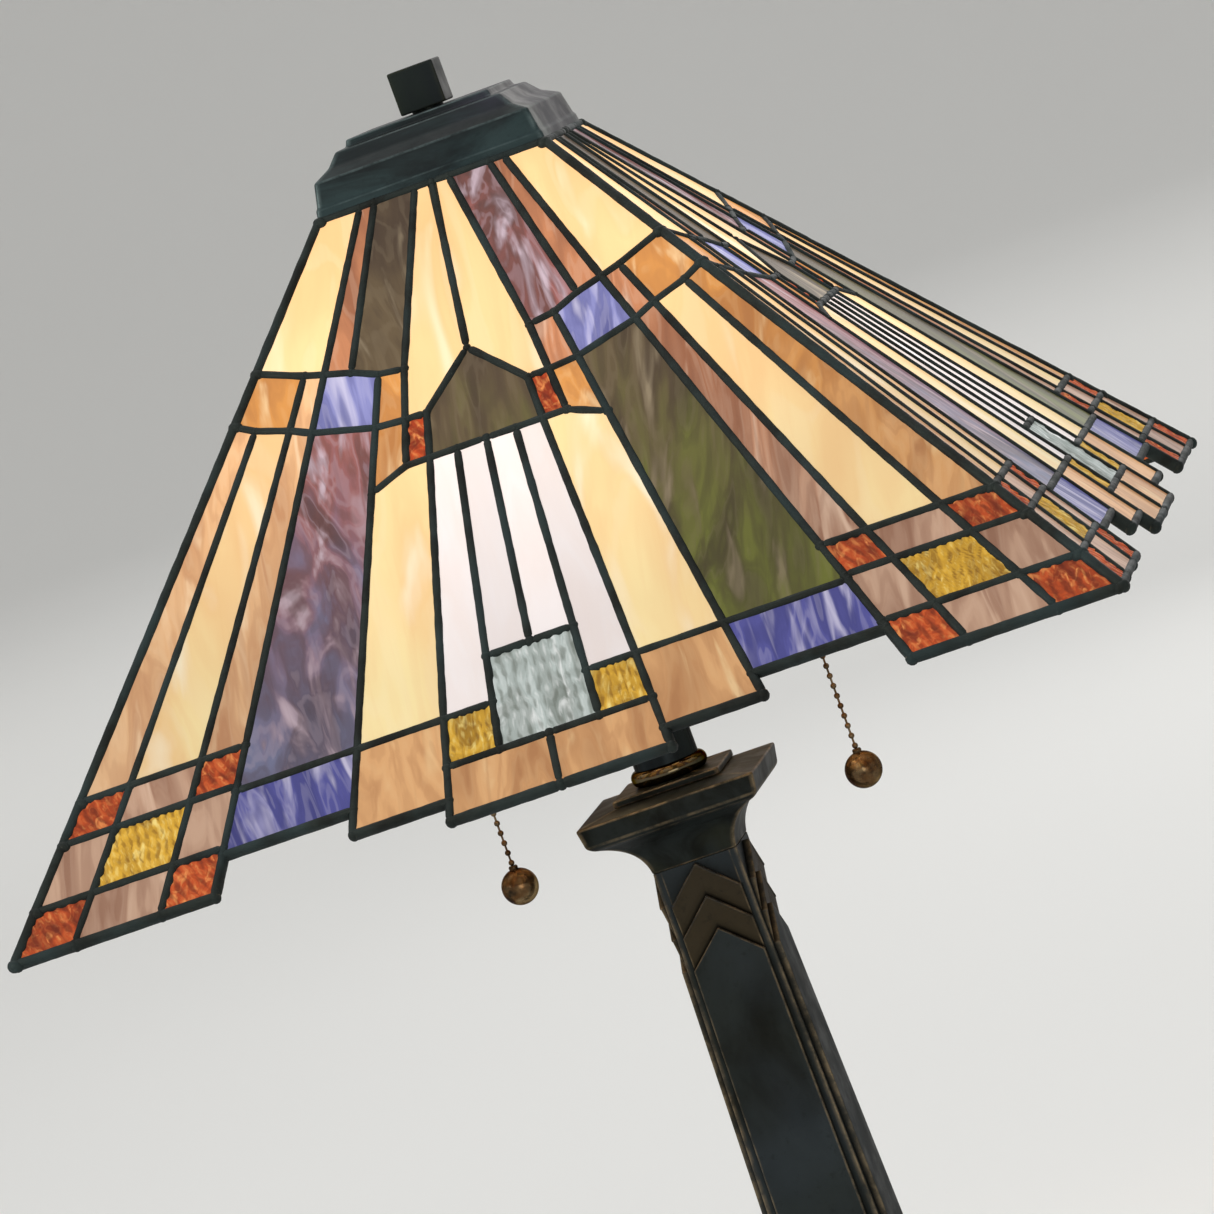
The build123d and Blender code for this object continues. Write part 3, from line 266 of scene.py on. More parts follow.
# ---------------------------------------------------------------- surfaces
class Skin:
    """Gathers closed surfaces into one mesh, with named values for each vertex."""

    def __init__(self, *value_names):
        self.points = []
        self.faces = []
        self.values = {name: [] for name in value_names}
        self.count = 0

    def add(self, points, faces, **values):
        self.points.append(points)
        self.faces += [tuple(face) for block in faces for face in (block + self.count).tolist()]
        self.count += len(points)
        for name, gathered in self.values.items():
            gathered.append(np.broadcast_to(values.get(name, 0.0), (len(points),)))

    def piece(self, name, material, body, slot, replaced=()):
        """The finished object, riding on its body."""
        mesh = bpy.data.meshes.new(name)
        mesh.from_pydata(np.concatenate(self.points).tolist(), [], self.faces)
        mesh.shade_smooth()
        mesh.set_sharp_from_angle(angle=np.radians(50))
        for value_name, gathered in self.values.items():
            layer = mesh.attributes.new(value_name, "FLOAT", "POINT")
            layer.data.foreach_set("value", np.concatenate(gathered).astype(np.float32))
        mesh.materials.append(material)
        piece = bpy.data.objects.new(name, mesh)
        bpy.context.scene.collection.objects.link(piece)
        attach(piece, body)
        if replaced:
            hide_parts(*replaced)
        return piece


def lofted(rings):
    """A closed skin through rings: each ring is joined to the next by quads, and the first and the last are
    closed by a fan of triangles round their mean point. Its faces are turned to point outwards, by the sign
    of the volume that they enclose: the sum of a . (b x c) over the triangles."""
    rows, columns = rings.shape[:2]
    here = np.arange(rows * columns).reshape(rows, columns)
    beside = np.roll(here, -1, axis=1)
    quads = np.stack([here[:-1], beside[:-1], beside[1:], here[1:]], axis=-1).reshape(-1, 4)
    first, last = rows * columns, rows * columns + 1
    foot = np.stack([beside[0], here[0], np.full(columns, first)], axis=-1)
    head = np.stack([here[-1], beside[-1], np.full(columns, last)], axis=-1)
    points = np.concatenate([rings.reshape(-1, 3), rings[:1].mean(axis=1), rings[-1:].mean(axis=1)])
    corners = [quads[:, [0, 1, 2]], quads[:, [0, 2, 3]], foot, head]
    triangles = points[np.concatenate(corners)] - points.mean(axis=0)
    volume = np.einsum("ij,ij->i", triangles[:, 0], np.cross(triangles[:, 1], triangles[:, 2])).sum()
    if volume < 0:
        quads, foot, head = quads[:, ::-1], foot[:, ::-1], head[:, ::-1]
    return points, [quads, foot, head]


def closed(values):
    """Values over rings, with the mean of the first and of the last ring for the two middle points."""
    return np.concatenate([values.reshape(-1), [values[0].mean(), values[-1].mean()]])


def eased(corners, radius, steps=4):
    """A profile with its inner corners rounded. Each corner C between directions a and b becomes the curve
    C - r a (1 - t)^2 + r b t^2 for t from 0 to 1, with a holding point a little before and after it. Also
    returns how worn each point is, which also paints a highlight on the edge: 1 in the middle of an outer
    corner and 0 elsewhere."""
    corners = np.array(corners, float)
    points, worn_and_lit = [corners[:1]], [np.zeros(1)]
    t = np.linspace(0, 1, steps + 1)[:, None]
    for before, corner, after in zip(corners, corners[1:], corners[2:]):
        a, b = corner - before, after - corner
        reach = min(radius, 0.42 * np.hypot(*a), 0.42 * np.hypot(*b))
        a, b = a / np.hypot(*a), b / np.hypot(*b)
        outer = max(a[0] * b[1] - a[1] * b[0], 0.0)
        curve = corner - reach * a * (1 - t) ** 2 + reach * b * t ** 2
        points += [corner - 1.15 * reach * a[None], curve, corner + 1.15 * reach * b[None]]
        worn_and_lit += [np.zeros(1), outer * np.sin(np.pi * t[:, 0]) ** 0.5, np.zeros(1)]
    return np.concatenate(points + [corners[-1:]]), np.concatenate(worn_and_lit + [np.zeros(1)])


def square_rings(profile, worn_and_lit, edge):
    """Rings round a square: at each half width h and height z of the profile the ring is (h - c) K + c N,
    where K runs round a unit square, N is the outward direction, and c is the edge's radius. Holding points
    lie beside each rounded edge, so that the flats stay flat. Also returns how worn each point is, which also
    paints a highlight along the rounded edges."""
    hold = 1.2 * MM
    flat = np.array([-1, -1, -0.6, -0.2, 0.2, 0.6, 1])
    inward = np.array([0, 1, 0, 0, 0, 0, -1])
    angle = np.radians([0, 22.5, 45, 67.5])
    k = np.stack([np.concatenate([flat, np.ones(4)]), np.full(11, -1.0)], axis=-1)
    n_along = np.concatenate([np.zeros(7), np.sin(angle)])
    n_out = np.concatenate([-np.ones(7), -np.cos(angle)])
    n = np.stack([n_along, n_out], axis=-1)
    d = np.stack([np.concatenate([inward, np.zeros(4)]), np.zeros(11)], axis=-1)
    # Wear with a painted highlight on the rounded edges.
    edge_worn_and_lit = np.concatenate([[0.6], np.zeros(6), [0.6, 1, 1, 1]])
    half, z = profile[:, 0, None, None], profile[:, 1]
    reach = np.minimum(edge, 0.4 * half)
    side = (half - reach) * k + reach * n + hold * d
    rings = np.concatenate([turned_sideways(side, turn) for turn in range(4)], axis=1)
    heights = np.broadcast_to(z[:, None, None], rings.shape[:2] + (1,))
    return np.concatenate([rings, heights], axis=-1), np.maximum(worn_and_lit[:, None], np.tile(edge_worn_and_lit, 4)[None])


def turned_sideways(points, turn):
    """Points in X and Y, turned by quarter turns about the upright axis."""
    c, s = ((1, 0), (0, 1), (-1, 0), (0, -1))[turn]
    x, y = points[..., 0], points[..., 1]
    return np.stack([c * x - s * y, s * x + c * y], axis=-1)


def round_rings(profile, sides, x=0.0):
    """Rings round an upright axis at x: for each radius r and height z, the circle of radius r at z."""
    angle = np.linspace(0, 2 * np.pi, sides, endpoint=False)
    radius, z = profile[:, 0, None], profile[:, 1, None]
    return np.stack([x + radius * np.cos(angle), radius * np.sin(angle), z + 0 * angle], axis=-1)


def slab(half, foot, top):
    """The profile of a plain block, from its middle at the foot round to its middle at the top."""
    middle = 2 * MM
    return [(middle, foot), (half, foot), (half, top), (middle, top)]


def square_body(name, corners, radius, edge, material, body, slot, replaced):
    """One cast square piece: a rounded profile carried round a square."""
    profile, worn_and_lit = eased(corners, radius)
    rings, worn_and_lit = square_rings(profile, worn_and_lit, edge)
    skin = Skin("wear")
    skin.add(*lofted(rings), wear=closed(worn_and_lit))
    return skin.piece(name, material, body, slot, replaced)


def waves(x, y, pitch, seed, count=5):
    """A smooth random field: the mean of a few sine waves of about the given pitch in random directions."""
    draw = np.random.default_rng(seed)
    turn, phase = draw.uniform(0, 2 * np.pi, (2, count))
    wave = 2 * np.pi / (pitch * draw.uniform(0.7, 1.4, count))
    along = x[..., None] * np.cos(turn) + y[..., None] * np.sin(turn)
    return np.sin(along * wave + phase).mean(axis=-1)


# ---------------------------------------------------------------- materials
class Finish:
    """One material's node tree, with short ways to add and join nodes."""

    def __init__(self, name):
        self.material = bpy.data.materials.new(name)
        self.material.use_nodes = True
        self.tree = self.material.node_tree
        self.shader = next(n for n in self.tree.nodes if n.type == "BSDF_PRINCIPLED")

    def add(self, kind, inputs=(), **attributes):
        node = self.tree.nodes.new(kind)
        for name, value in attributes.items():
            setattr(node, name, value)
        for key, value in dict(inputs).items():
            self.put(node.inputs[key], value)
        return node

    def put(self, socket, value):
        if isinstance(value, bpy.types.NodeSocket):
            self.tree.links.new(value, socket)
        elif socket.type == "RGBA":
            socket.default_value = (*value[:3], 1.0)
        else:
            socket.default_value = value

    def set(self, **inputs):
        for name, value in inputs.items():
            self.put(self.shader.inputs[name.replace("_", " ")], value)

    def place(self):
        return self.add("ShaderNodeTexCoord").outputs["Object"]

    def value(self, name):
        return self.add("ShaderNodeAttribute", attribute_name=name).outputs["Fac"]

    def stretched(self, source, scale):
        return self.add("ShaderNodeMapping", {"Vector": source, "Scale": scale}).outputs[0]

    def noise(self, source, scale=1.0, detail=4.0, roughness=0.55, distortion=0.0):
        inputs = {"Vector": source, "Scale": scale, "Detail": detail, "Roughness": roughness,
                  "Distortion": distortion}
        return self.add("ShaderNodeTexNoise", inputs).outputs["Fac"]

    def mix(self, share, low, high):
        node = self.add("ShaderNodeMix", data_type="RGBA")
        for index, value in ((0, share), (6, low), (7, high)):
            self.put(node.inputs[index], value)
        return node.outputs[2]

    def sums(self, operation, a, b=0.0):
        return self.add("ShaderNodeMath", {0: a, 1: b}, operation=operation).outputs[0]

    def plus(self, a, b):
        return self.sums("ADD", a, b)

    def times(self, a, b):
        return self.sums("MULTIPLY", a, b)

    def band(self, value, low, high, to_low=0.0, to_high=1.0):
        inputs = {"Value": value, "From Min": low, "From Max": high, "To Min": to_low, "To Max": to_high}
        return self.add("ShaderNodeMapRange", inputs, interpolation_type="SMOOTHSTEP").outputs[0]

    def bump(self, height, strength, distance):
        inputs = {"Height": height, "Strength": strength, "Distance": distance}
        self.put(self.shader.inputs["Normal"], self.add("ShaderNodeBump", inputs).outputs[0])


MATERIALS = {}


def finish(name, build, *colours, **values):
    """A material by name, made on first use."""
    if name not in MATERIALS:
        MATERIALS[name] = build(name, *colours, **values)
    return MATERIALS[name]


def dress(material, *names):
    """Gives CAD nodes, which keep their shape, another material."""
    for name in names:
        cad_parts[name].data.materials[0] = material


# The tint of the gloss on a patina, which is dull where bare metal would be bright.
EDGE_TINT = (0.32, 0.28, 0.19)


def patina(name, body, deep, bloom, worn_and_lit, metallic=0.4, smooth=0.36, rough=0.58, grain=60.0,
           streaks=(1, 1, 0.45), cloud=26.0):
    """Patinated metal: clouds of a deep and a bloom colour over the body, the worn colour where the wear
    value is high and a fine grain breaks it up, which is real wear and, on the cast edges, a painted
    highlight as well, olive brown where the warm value is high, near black where the grime value is, which is
    patina and painted shade in the recesses, and gloss that is mottled between smooth and rough."""
    f = Finish(name)
    place = f.place()
    clouds = f.noise(f.stretched(place, streaks), cloud, 5.0, 0.6, 0.6)
    fine = f.noise(place, grain * 5, 4.0, 0.65)
    drift = f.noise(place, 0.42 * cloud, 3.0, 0.5)
    colour = f.mix(f.band(clouds, 0.34, 0.62), deep, body)
    colour = f.mix(f.times(f.band(drift, 0.46, 0.66), 0.65), colour, bloom)
    colour = f.mix(f.times(f.value("warm"), 0.85), colour, tuple(settings().metal.chevron))
    colour = f.mix(f.band(fine, 0.55, 0.75, 0.0, 0.35), colour, deep)
    rubbed = f.band(f.noise(place, grain * 2.2, 5.0, 0.7), 0.36, 0.66, 0.1, 0.75)
    # Real wear, and along the cast edges a painted highlight as well.
    colour = f.mix(f.times(f.value("wear"), rubbed), colour, worn_and_lit)
    # Painted shade: near black in the recesses, together with the patina that gathers there.
    colour = f.mix(f.times(f.value("grime"), 0.85), colour, [0.35 * part for part in deep])
    gloss = f.band(f.noise(place, grain, 4.0, 0.6), 0.3, 0.7, smooth, rough)
    f.set(Base_Color=colour, Metallic=metallic, Roughness=gloss, Specular_Tint=EDGE_TINT,
          Specular_IOR_Level=0.4)
    f.bump(f.plus(fine, clouds), 0.16, 0.35 * MM)
    return f.material


def brushed(name, colour):
    """Plain plated metal with fine scratches and a little tone."""
    f = Finish(name)
    rough = 0.32
    place = f.place()
    tone = f.noise(place, 40.0, 3.0)
    lines = f.noise(f.stretched(place, (1, 1, 14)), 160.0, 3.0)
    dark = [0.55 * part for part in colour]
    f.set(Base_Color=f.mix(f.band(tone, 0.35, 0.7), dark, colour), Metallic=1.0,
          Roughness=f.band(lines, 0.3, 0.7, rough, rough + 0.2))
    f.bump(lines, 0.08, 0.1 * MM)
    return f.material


def dull(name, colour, rough, grain, depth):
    """A matt surface: felt, raw iron or moulded plastic, as the grain and the depth of its bumps say."""
    f = Finish(name)
    place = f.place()
    fine = f.noise(place, grain, 5.0, 0.7)
    dark = [0.5 * part for part in colour]
    f.set(Base_Color=f.mix(f.band(fine, 0.3, 0.7), dark, colour),
          Roughness=f.band(fine, 0.3, 0.7, rough - 0.1, rough))
    f.bump(fine, 0.5, depth)
    return f.material


def paper(name, colour):
    """Plain studio paper with the faintest tone."""
    f = Finish(name)
    pale = [0.97 * part for part in colour]
    f.set(Base_Color=f.mix(f.noise(f.place(), 0.8, 1.0), pale, colour), Roughness=0.95)
    return f.material


def opal(name):
    """The bulb's frosted glass, lit from inside: a warm white light with a little tone."""
    f = Finish(name)
    tone = f.noise(f.place(), 30.0, 2.0)
    colour = f.mix(tone, linear(255, 214, 150), linear(255, 236, 200))
    f.set(Base_Color=colour, Roughness=0.35, Emission_Color=colour,
          Emission_Strength=f.band(tone, 0.2, 0.8, 2.6, 3.4))
    return f.material


# How each glass was rolled: the size of its clouds across and along the grain and that of its wisps, in
# millimetres, how much of it is deep, how much is wisps, and how far it swirls.
GLASS_GRAIN = {
    "cream": (46, 120, 22, 70, 0.28, 0.25, 0.8),
    "white": (30, 120, 18, 80, 0.14, 0.30, 0.5),
    "tan": (16, 95, 9, 60, 0.44, 0.36, 1.1),
    "amber": (18, 60, 11, 44, 0.38, 0.28, 1.2),
    "peach": (16, 80, 9, 56, 0.40, 0.36, 1.0),
    "mauve": (26, 80, 15, 52, 0.50, 0.46, 2.2),
    "moss": (24, 95, 13, 64, 0.46, 0.26, 1.6),
    "blue": (12, 60, 7, 46, 0.44, 0.44, 1.0),
    "red_ripple": (9, 12, 4, 6, 0.42, 0.30, 1.4),
    "yellow_ripple": (9, 16, 4, 10, 0.34, 0.34, 1.2),
    "clear_ripple": (9, 30, 5, 16, 0.36, 0.36, 1.2),
}


def glass(name, kind):
    """Lit opalescent glass. Its body runs from the rim colour to the crown colour with the fall value, and
    deepens just under the cap. Clouds of the deep colour, swirling wisps, thin threads and contour lines like
    marbling, which are the sine of the clouds, lie on the sheet's own coordinates. The ridge value paints
    shade into the hollows and a highlight onto the crests of rippled glass, each piece has its own tone, the
    glow value gives the light through it, and its face is glossy."""
    f = Finish(name)
    colours = settings().glass
    rim, crown, deep, wisp = (tuple(getattr(colours, f"{kind}_{part}")) for part in GLASS_PARTS)
    across, along, wisp_across, wisp_along, deep_share, wisp_share, swirl = GLASS_GRAIN[kind]
    sheet = f.add("ShaderNodeUVMap", uv_map="sheet").outputs[0]
    tone = f.value("tone")
    cloud_scale = (1 / (across * MM), 1 / (along * MM), 1)
    wisp_scale = (1 / (wisp_across * MM), 1 / (wisp_along * MM), 1)
    clouds = f.noise(f.stretched(sheet, cloud_scale), 1.0, 2.5, 0.42, swirl)
    clouds = f.plus(clouds, f.times(tone, 0.05))
    wisps = f.noise(f.stretched(sheet, wisp_scale), 1.0, 3.0, 0.45, swirl)
    threads = f.noise(f.stretched(sheet, (420, 26, 1)), 1.0, 2.0, 0.5, 0.6)
    marbling = f.sums("SINE", f.times(f.plus(clouds, f.times(wisps, 0.4)), 30.0))
    fall = f.plus(f.value("fall"), f.times(f.sums("SUBTRACT", wisps, 0.5), 0.7))
    colour = f.mix(f.band(fall, 0.08, 0.66), rim, crown)
    colour = f.mix(f.band(fall, 0.72, 1.05, 0.0, 0.75), colour, deep)
    dark, light = 0.24 + 0.2 * deep_share, 0.46 + 0.3 * deep_share
    colour = f.mix(f.band(clouds, dark, light, 0.75 * deep_share + 0.3, 0.0), colour, deep)
    colour = f.mix(f.band(wisps, 0.60 - 0.22 * wisp_share, 0.80 - 0.1 * wisp_share, 0.0, 0.9), colour, wisp)
    colour = f.mix(f.band(marbling, 0.1, 1.0, 0.0, 0.5 * deep_share), colour, deep)
    colour = f.mix(f.band(marbling, -0.4, -1.0, 0.0, 0.35 * wisp_share), colour, wisp)
    colour = f.mix(f.band(threads, 0.5, 0.75, 0.0, 0.3 * deep_share), colour, deep)
    # Painted shade in the hollows and painted highlight on the crests of rippled glass.
    ridge = f.value("ridge")
    colour = f.mix(f.band(ridge, -0.1, -0.9, 0.0, 0.6), colour, deep)
    colour = f.mix(f.band(ridge, 0.25, 0.9, 0.0, 0.5), colour, wisp)
    strength = f.times(f.value("glow"), f.band(tone, -1.0, 1.0, 0.9 * colours.glow, 1.06 * colours.glow))
    f.set(Base_Color=f.mix(0.7, colour, (0.02, 0.02, 0.02)), Roughness=0.28, IOR=1.2,
          Specular_IOR_Level=0.1, Emission_Color=colour, Emission_Strength=strength)
    f.bump(f.plus(clouds, f.times(threads, 0.2)), 0.12, 0.4 * MM)
    return f.material


def bronze():
    m = settings().metal
    return finish("slate_bronze", patina, m.bronze, m.bronze_deep, m.bronze_bloom, m.copper)


def solder():
    m = settings().metal
    return finish("black_solder", patina, m.solder, m.solder_deep, m.cap, m.steel, metallic=0.15,
                  smooth=0.48, rough=0.72, grain=90.0, streaks=(1, 1, 1), cloud=60.0)


def brass():
    m = settings().metal
    return finish("antique_brass", patina, m.brass, m.brass_deep, m.brass_bright, m.brass_bright,
                  metallic=0.8, smooth=0.14, rough=0.34, grain=80.0, streaks=(1, 1, 1), cloud=260.0)


def socket_brass():
    m = settings().metal
    return finish("socket_brass", patina, m.brass, m.brass_deep, m.brass, m.brass_bright,
                  metallic=0.85, smooth=0.26, rough=0.4, grain=80.0, streaks=(1, 1, 1), cloud=30.0)


def bead_brass():
    m = settings().metal
    return finish("bead_brass", patina, m.brass, m.brass_deep, m.copper, m.brass_bright,
                  metallic=0.75, smooth=0.24, rough=0.42, grain=120.0, streaks=(1, 1, 1), cloud=200.0)


def steel():
    return finish("zinc_plate", brushed, tuple(settings().metal.steel))


# ---------------------------------------------------------------- the shade's surfaces
def shade_slope():
    """The length of a panel up the glass, and how far it leans in and rises for each metre of that."""
    sizes = settings().shade
    run = (sizes.width - sizes.top_width) / 2
    up = float(np.hypot(run, sizes.height))
    return up, run / up, sizes.height / up


def on_panel(x, up, out, turn):
    """The point x across a panel from its middle, up the glass and out of its face, on one of four sides.
    Across the side it lies half the shade's width out, less lean times up, plus rise times out. Its height is
    that of the glass's foot, plus rise times up, plus lean times out."""
    sizes = settings().shade
    _, lean, rise = shade_slope()
    shade_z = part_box("shade_collar")[0].z - sizes.height
    across = np.stack([x, -sizes.width / 2 + lean * up - rise * out], axis=-1)
    height = shade_z + rise * up + lean * out
    return np.concatenate([turned_sideways(across, turn), height[..., None]], axis=-1)


def half_width(up):
    return settings().shade.width / 2 - shade_slope()[1] * up


def cartoon_up(row):
    return np.asarray(row, float) * shade_slope()[0] / CARTOON_HEIGHT


# How far a piece stops short of the panel's corner, so that it clears the next panel's.
HIP_GAP = 1.8 * MM


def chain_at(chain, shares):
    """Points along a chain of (column, row) points at shares of its length, in metres across and up the
    glass, and the share at each of the chain's own points."""
    columns, rows = np.array(chain, float).T
    up = cartoon_up(rows)
    x = columns * half_width(up) - np.sign(columns) * (np.abs(columns) > 0.999) * HIP_GAP
    lengths = np.concatenate([[0], np.cumsum(np.hypot(np.diff(x), np.diff(up)))])
    at = shares * lengths[-1]
    return np.interp(at, lengths, x), np.interp(at, lengths, up), lengths / lengths[-1]


def all_cells():
    """Every piece of one panel: its glass, and its lower and upper chain from left to right."""
    house = [(-EAVE, EAVE_ROW), (0, APEX), (EAVE, EAVE_ROW)]
    clear = [(-INNER, CLEAR_TOP), (INNER, CLEAR_TOP)]
    cells = [("moss", [(-EAVE, HOUSE_FOOT), (EAVE, HOUSE_FOOT)], house),
             ("clear_ripple", [(-INNER, CLEAR_FOOT), (INNER, CLEAR_FOOT)], clear)]
    half = list(HALF_CELLS)
    for i, (high, low) in enumerate(zip(CHECK_ROWS, CHECK_ROWS[1:])):
        for j, (left, right) in enumerate(zip(CHECK_COLUMNS, CHECK_COLUMNS[1:])):
            kind = CHECK_GLASS[i][j]
            half.append((kind, kind, [(left, low), (right, low)], [(left, high), (right, high)]))
    for left_kind, right_kind, lower, upper in half:
        cells.append((right_kind, lower, upper))
        cells.append((left_kind, mirrored(lower), mirrored(upper)))
    return cells


def mirrored(chain):
    return [(-column, row) for column, row in reversed(chain)]


# A bulb's height over a panel's plane, the light that glows with a strength of 1, which is that halfway up a
# panel, the power that softens it, and the least and the most that it glows.
BULB_HEIGHT, USUAL_LIGHT, SOFTENING, GLOW_LIMITS = 0.07, 62.0, 0.34, (0.68, 1.22)


def glow_at(points):
    """The light that reaches the glass: for each bulb the cosine at the glass over the distance squared,
    which is the bulb's height over the panel's plane over the distance cubed. It is softened by a power,
    because the glass scatters it."""
    light = 0.0
    for name in ("bulb_globe_left", "bulb_globe_right"):
        low, high = (np.array(corner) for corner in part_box(name))
        bulb = (low + high) / 2
        away = np.linalg.norm(points - bulb, axis=-1)
        light = light + BULB_HEIGHT / np.maximum(away, 0.03) ** 3
    return np.clip((light / USUAL_LIGHT) ** SOFTENING, *GLOW_LIMITS)


def glass_piece(lower, upper, turn, kind, seed):
    """One piece of glass, a closed slab ruled between its chains: (1 - v) lower(u) + v upper(u). Its outer
    face has the kind's relief, its inner face is flat, and both stop short of the solder line's middle.
    Returns its rings, its sheet coordinates and its ridges, from -1 in a hollow to 1 on a crest."""
    rippled = kind.endswith("ripple")
    step = (1.0 if rippled else 3.6) * MM
    trim = 0.6 * MM
    x0, up0, kinks0 = chain_at(lower, np.linspace(0, 1, 9))
    x1, up1, kinks1 = chain_at(upper, np.linspace(0, 1, 9))
    width = max(x0[-1] - x0[0], x1[-1] - x1[0])
    height = max(np.max(up1) - np.min(up0), 0.004)
    trim_u, trim_v = trim / width, trim / height
    u = np.linspace(0, 1, max(3, int(width / step)) + 1)
    u = np.unique(np.round(np.concatenate([u, kinks0, kinks1]), 4))
    u = trim_u + (1 - 2 * trim_u) * u
    v = trim_v + (1 - 2 * trim_v) * np.linspace(0, 1, max(3, int(height / step)) + 1)
    x0, up0, _ = chain_at(lower, u)
    x1, up1, _ = chain_at(upper, u)
    x = x0[:, None] * (1 - v) + x1[:, None] * v
    up = up0[:, None] * (1 - v) + up1[:, None] * v
    out = relief(x, up, kind, seed)
    thickness = settings().shade.glass
    outer = on_panel(x, up, out, turn)
    inner = on_panel(x, up, np.full_like(x, -thickness), turn)
    rings = np.concatenate([outer, inner[:, ::-1]], axis=1)
    sheet = np.concatenate([np.stack([x, up], -1), np.stack([x, up], -1)[:, ::-1]], axis=1)
    crest = out / settings().shade.ripple if rippled else 0 * out
    return rings, sheet, np.concatenate([crest, crest[:, ::-1]], axis=1)


RIPPLE_PITCH = {"red_ripple": 4.2, "yellow_ripple": 2.9, "clear_ripple": 3.6}


def relief(x, up, kind, seed):
    """How far the face stands out: soft waves on smooth glass. Rippled glass has long ridges, a sine across
    the grain whose phase wanders along it, and red glass has them on a slant with a second, finer set."""
    depth = settings().shade.ripple
    soft = 0.10 * MM * waves(x, up, 24 * MM, seed)
    if not kind.endswith("ripple"):
        return soft
    wander = 1.5 * MM * waves(x, up, 14 * MM, seed + 1) + 0.6 * MM * waves(x, up, 5 * MM, seed + 2)
    slant = 0.5 * up if kind == "red_ripple" else 0.06 * up
    pitch = RIPPLE_PITCH[kind] * MM
    ridges = np.sin(2 * np.pi * (x + slant + wander) / pitch)
    cross = np.sin(2 * np.pi * (up + 2 * wander) / (2.3 * pitch))
    return depth * (0.62 * ridges + 0.26 * cross - 0.12) + soft


def make_glass():
    """One object for each kind of glass, with all its pieces on the four sides. Peach is a paler tan, and
    stands with the tan object in place of the tan node. Each piece is cut from its own spot of its sheet, at
    a small tilt, by x cos(tilt) - y sin(tilt) and x sin(tilt) + y cos(tilt)."""
    skins = {kind: Skin("tone", "glow", "fall", "ridge") for kind in GLASS_COLOURS}
    sheets = {kind: [] for kind in GLASS_COLOURS}
    draw = np.random.default_rng(11)
    panel_length = shade_slope()[0]
    for turn in range(4):
        for index, (kind, lower, upper) in enumerate(all_cells()):
            rings, sheet, crest = glass_piece(lower, upper, turn, kind, 100 * turn + index)
            points, faces = lofted(rings)
            tilt = np.radians(draw.normal(0, 5))
            offset = draw.uniform(0, 9, 2)
            ends = np.stack([sheet[0].mean(axis=0), sheet[-1].mean(axis=0)])
            flat = np.concatenate([sheet.reshape(-1, 2), ends])
            turned = np.stack([flat[:, 0] * np.cos(tilt) - flat[:, 1] * np.sin(tilt),
                               flat[:, 0] * np.sin(tilt) + flat[:, 1] * np.cos(tilt)], axis=-1)
            sheets[kind].append(turned + offset)
            skins[kind].add(points, faces, tone=draw.uniform(-1, 1), glow=glow_at(points),
                            fall=flat[:, 1] / panel_length, ridge=closed(crest))
    for kind, skin in skins.items():
        node = "glass_tan" if kind == "peach" else f"glass_{kind}"
        piece = skin.piece(f"{kind}_glass", finish(f"{kind}_glass", glass, kind), "shade", node, [node])
        layer = piece.data.uv_layers.new(name="sheet")
        corners = np.empty(len(piece.data.loops), np.int64)
        piece.data.loops.foreach_get("vertex_index", corners)
        layer.data.foreach_set("uv", np.concatenate(sheets[kind])[corners].astype(np.float32).ravel())


def bead_of_solder(path_x, path_up, turn, seed):
    """A bead along a path on a panel: an ellipse of half width a and half depth b, centred in the glass. It
    is a cos(s) across the path, squared off a little by a power of 0.8, and b sin(s) out of the panel, with a
    and b swelling and shrinking a little along the way. The ends draw in and are closed."""
    sizes = settings().shade
    half = 0.62 * sizes.line
    deep = sizes.glass / 2 + sizes.proud
    lengths = np.concatenate([[0], np.cumsum(np.hypot(np.diff(path_x), np.diff(path_up)))])
    count = max(int(lengths[-1] / (2.2 * MM)), 3)
    at = np.linspace(0, lengths[-1], count + 1)
    x, up = np.interp(at, lengths, path_x), np.interp(at, lengths, path_up)
    run = np.stack([np.gradient(x), np.gradient(up)], axis=-1)
    run = run / np.linalg.norm(run, axis=-1, keepdims=True)
    lump = 1 + 0.10 * waves(at, 0 * at + seed, 9 * MM, seed) + 0.05 * waves(at, 0 * at, 4 * MM, seed + 7)
    drawn = np.minimum(1, 0.55 + np.minimum(at, at[-1] - at) / (1.2 * MM))
    s = np.linspace(0, 2 * np.pi, 12, endpoint=False)
    across = (half * lump * drawn)[:, None] * np.sign(np.cos(s)) * np.abs(np.cos(s)) ** 0.8
    rise = (deep * (0.94 + 0.06 * lump) * drawn)[:, None] * np.sin(s)
    px = x[:, None] - across * run[:, 1, None]
    pu = up[:, None] + across * run[:, 0, None]
    return on_panel(px, pu, rise - sizes.glass / 2, turn)


def blob_of_solder(x, up, turn, seed):
    """A low round blob where solder lines meet: an ellipsoid, a bit wider than a line."""
    sizes = settings().shade
    draw = np.random.default_rng(seed)
    radius = sizes.line * draw.uniform(0.66, 0.86)
    deep = sizes.glass / 2 + sizes.proud * draw.uniform(1.02, 1.2)
    a = np.linspace(0.12, np.pi - 0.12, 8)[:, None]
    s = np.linspace(0, 2 * np.pi, 12, endpoint=False)
    px = x + radius * np.sin(a) * np.cos(s)
    pu = up + radius * np.sin(a) * np.sin(s)
    return on_panel(px, pu, deep * np.cos(a) + 0 * s - sizes.glass / 2, turn)


def all_lines():
    return MIDDLE_LINES + HALF_LINES + [mirrored(line) for line in HALF_LINES]


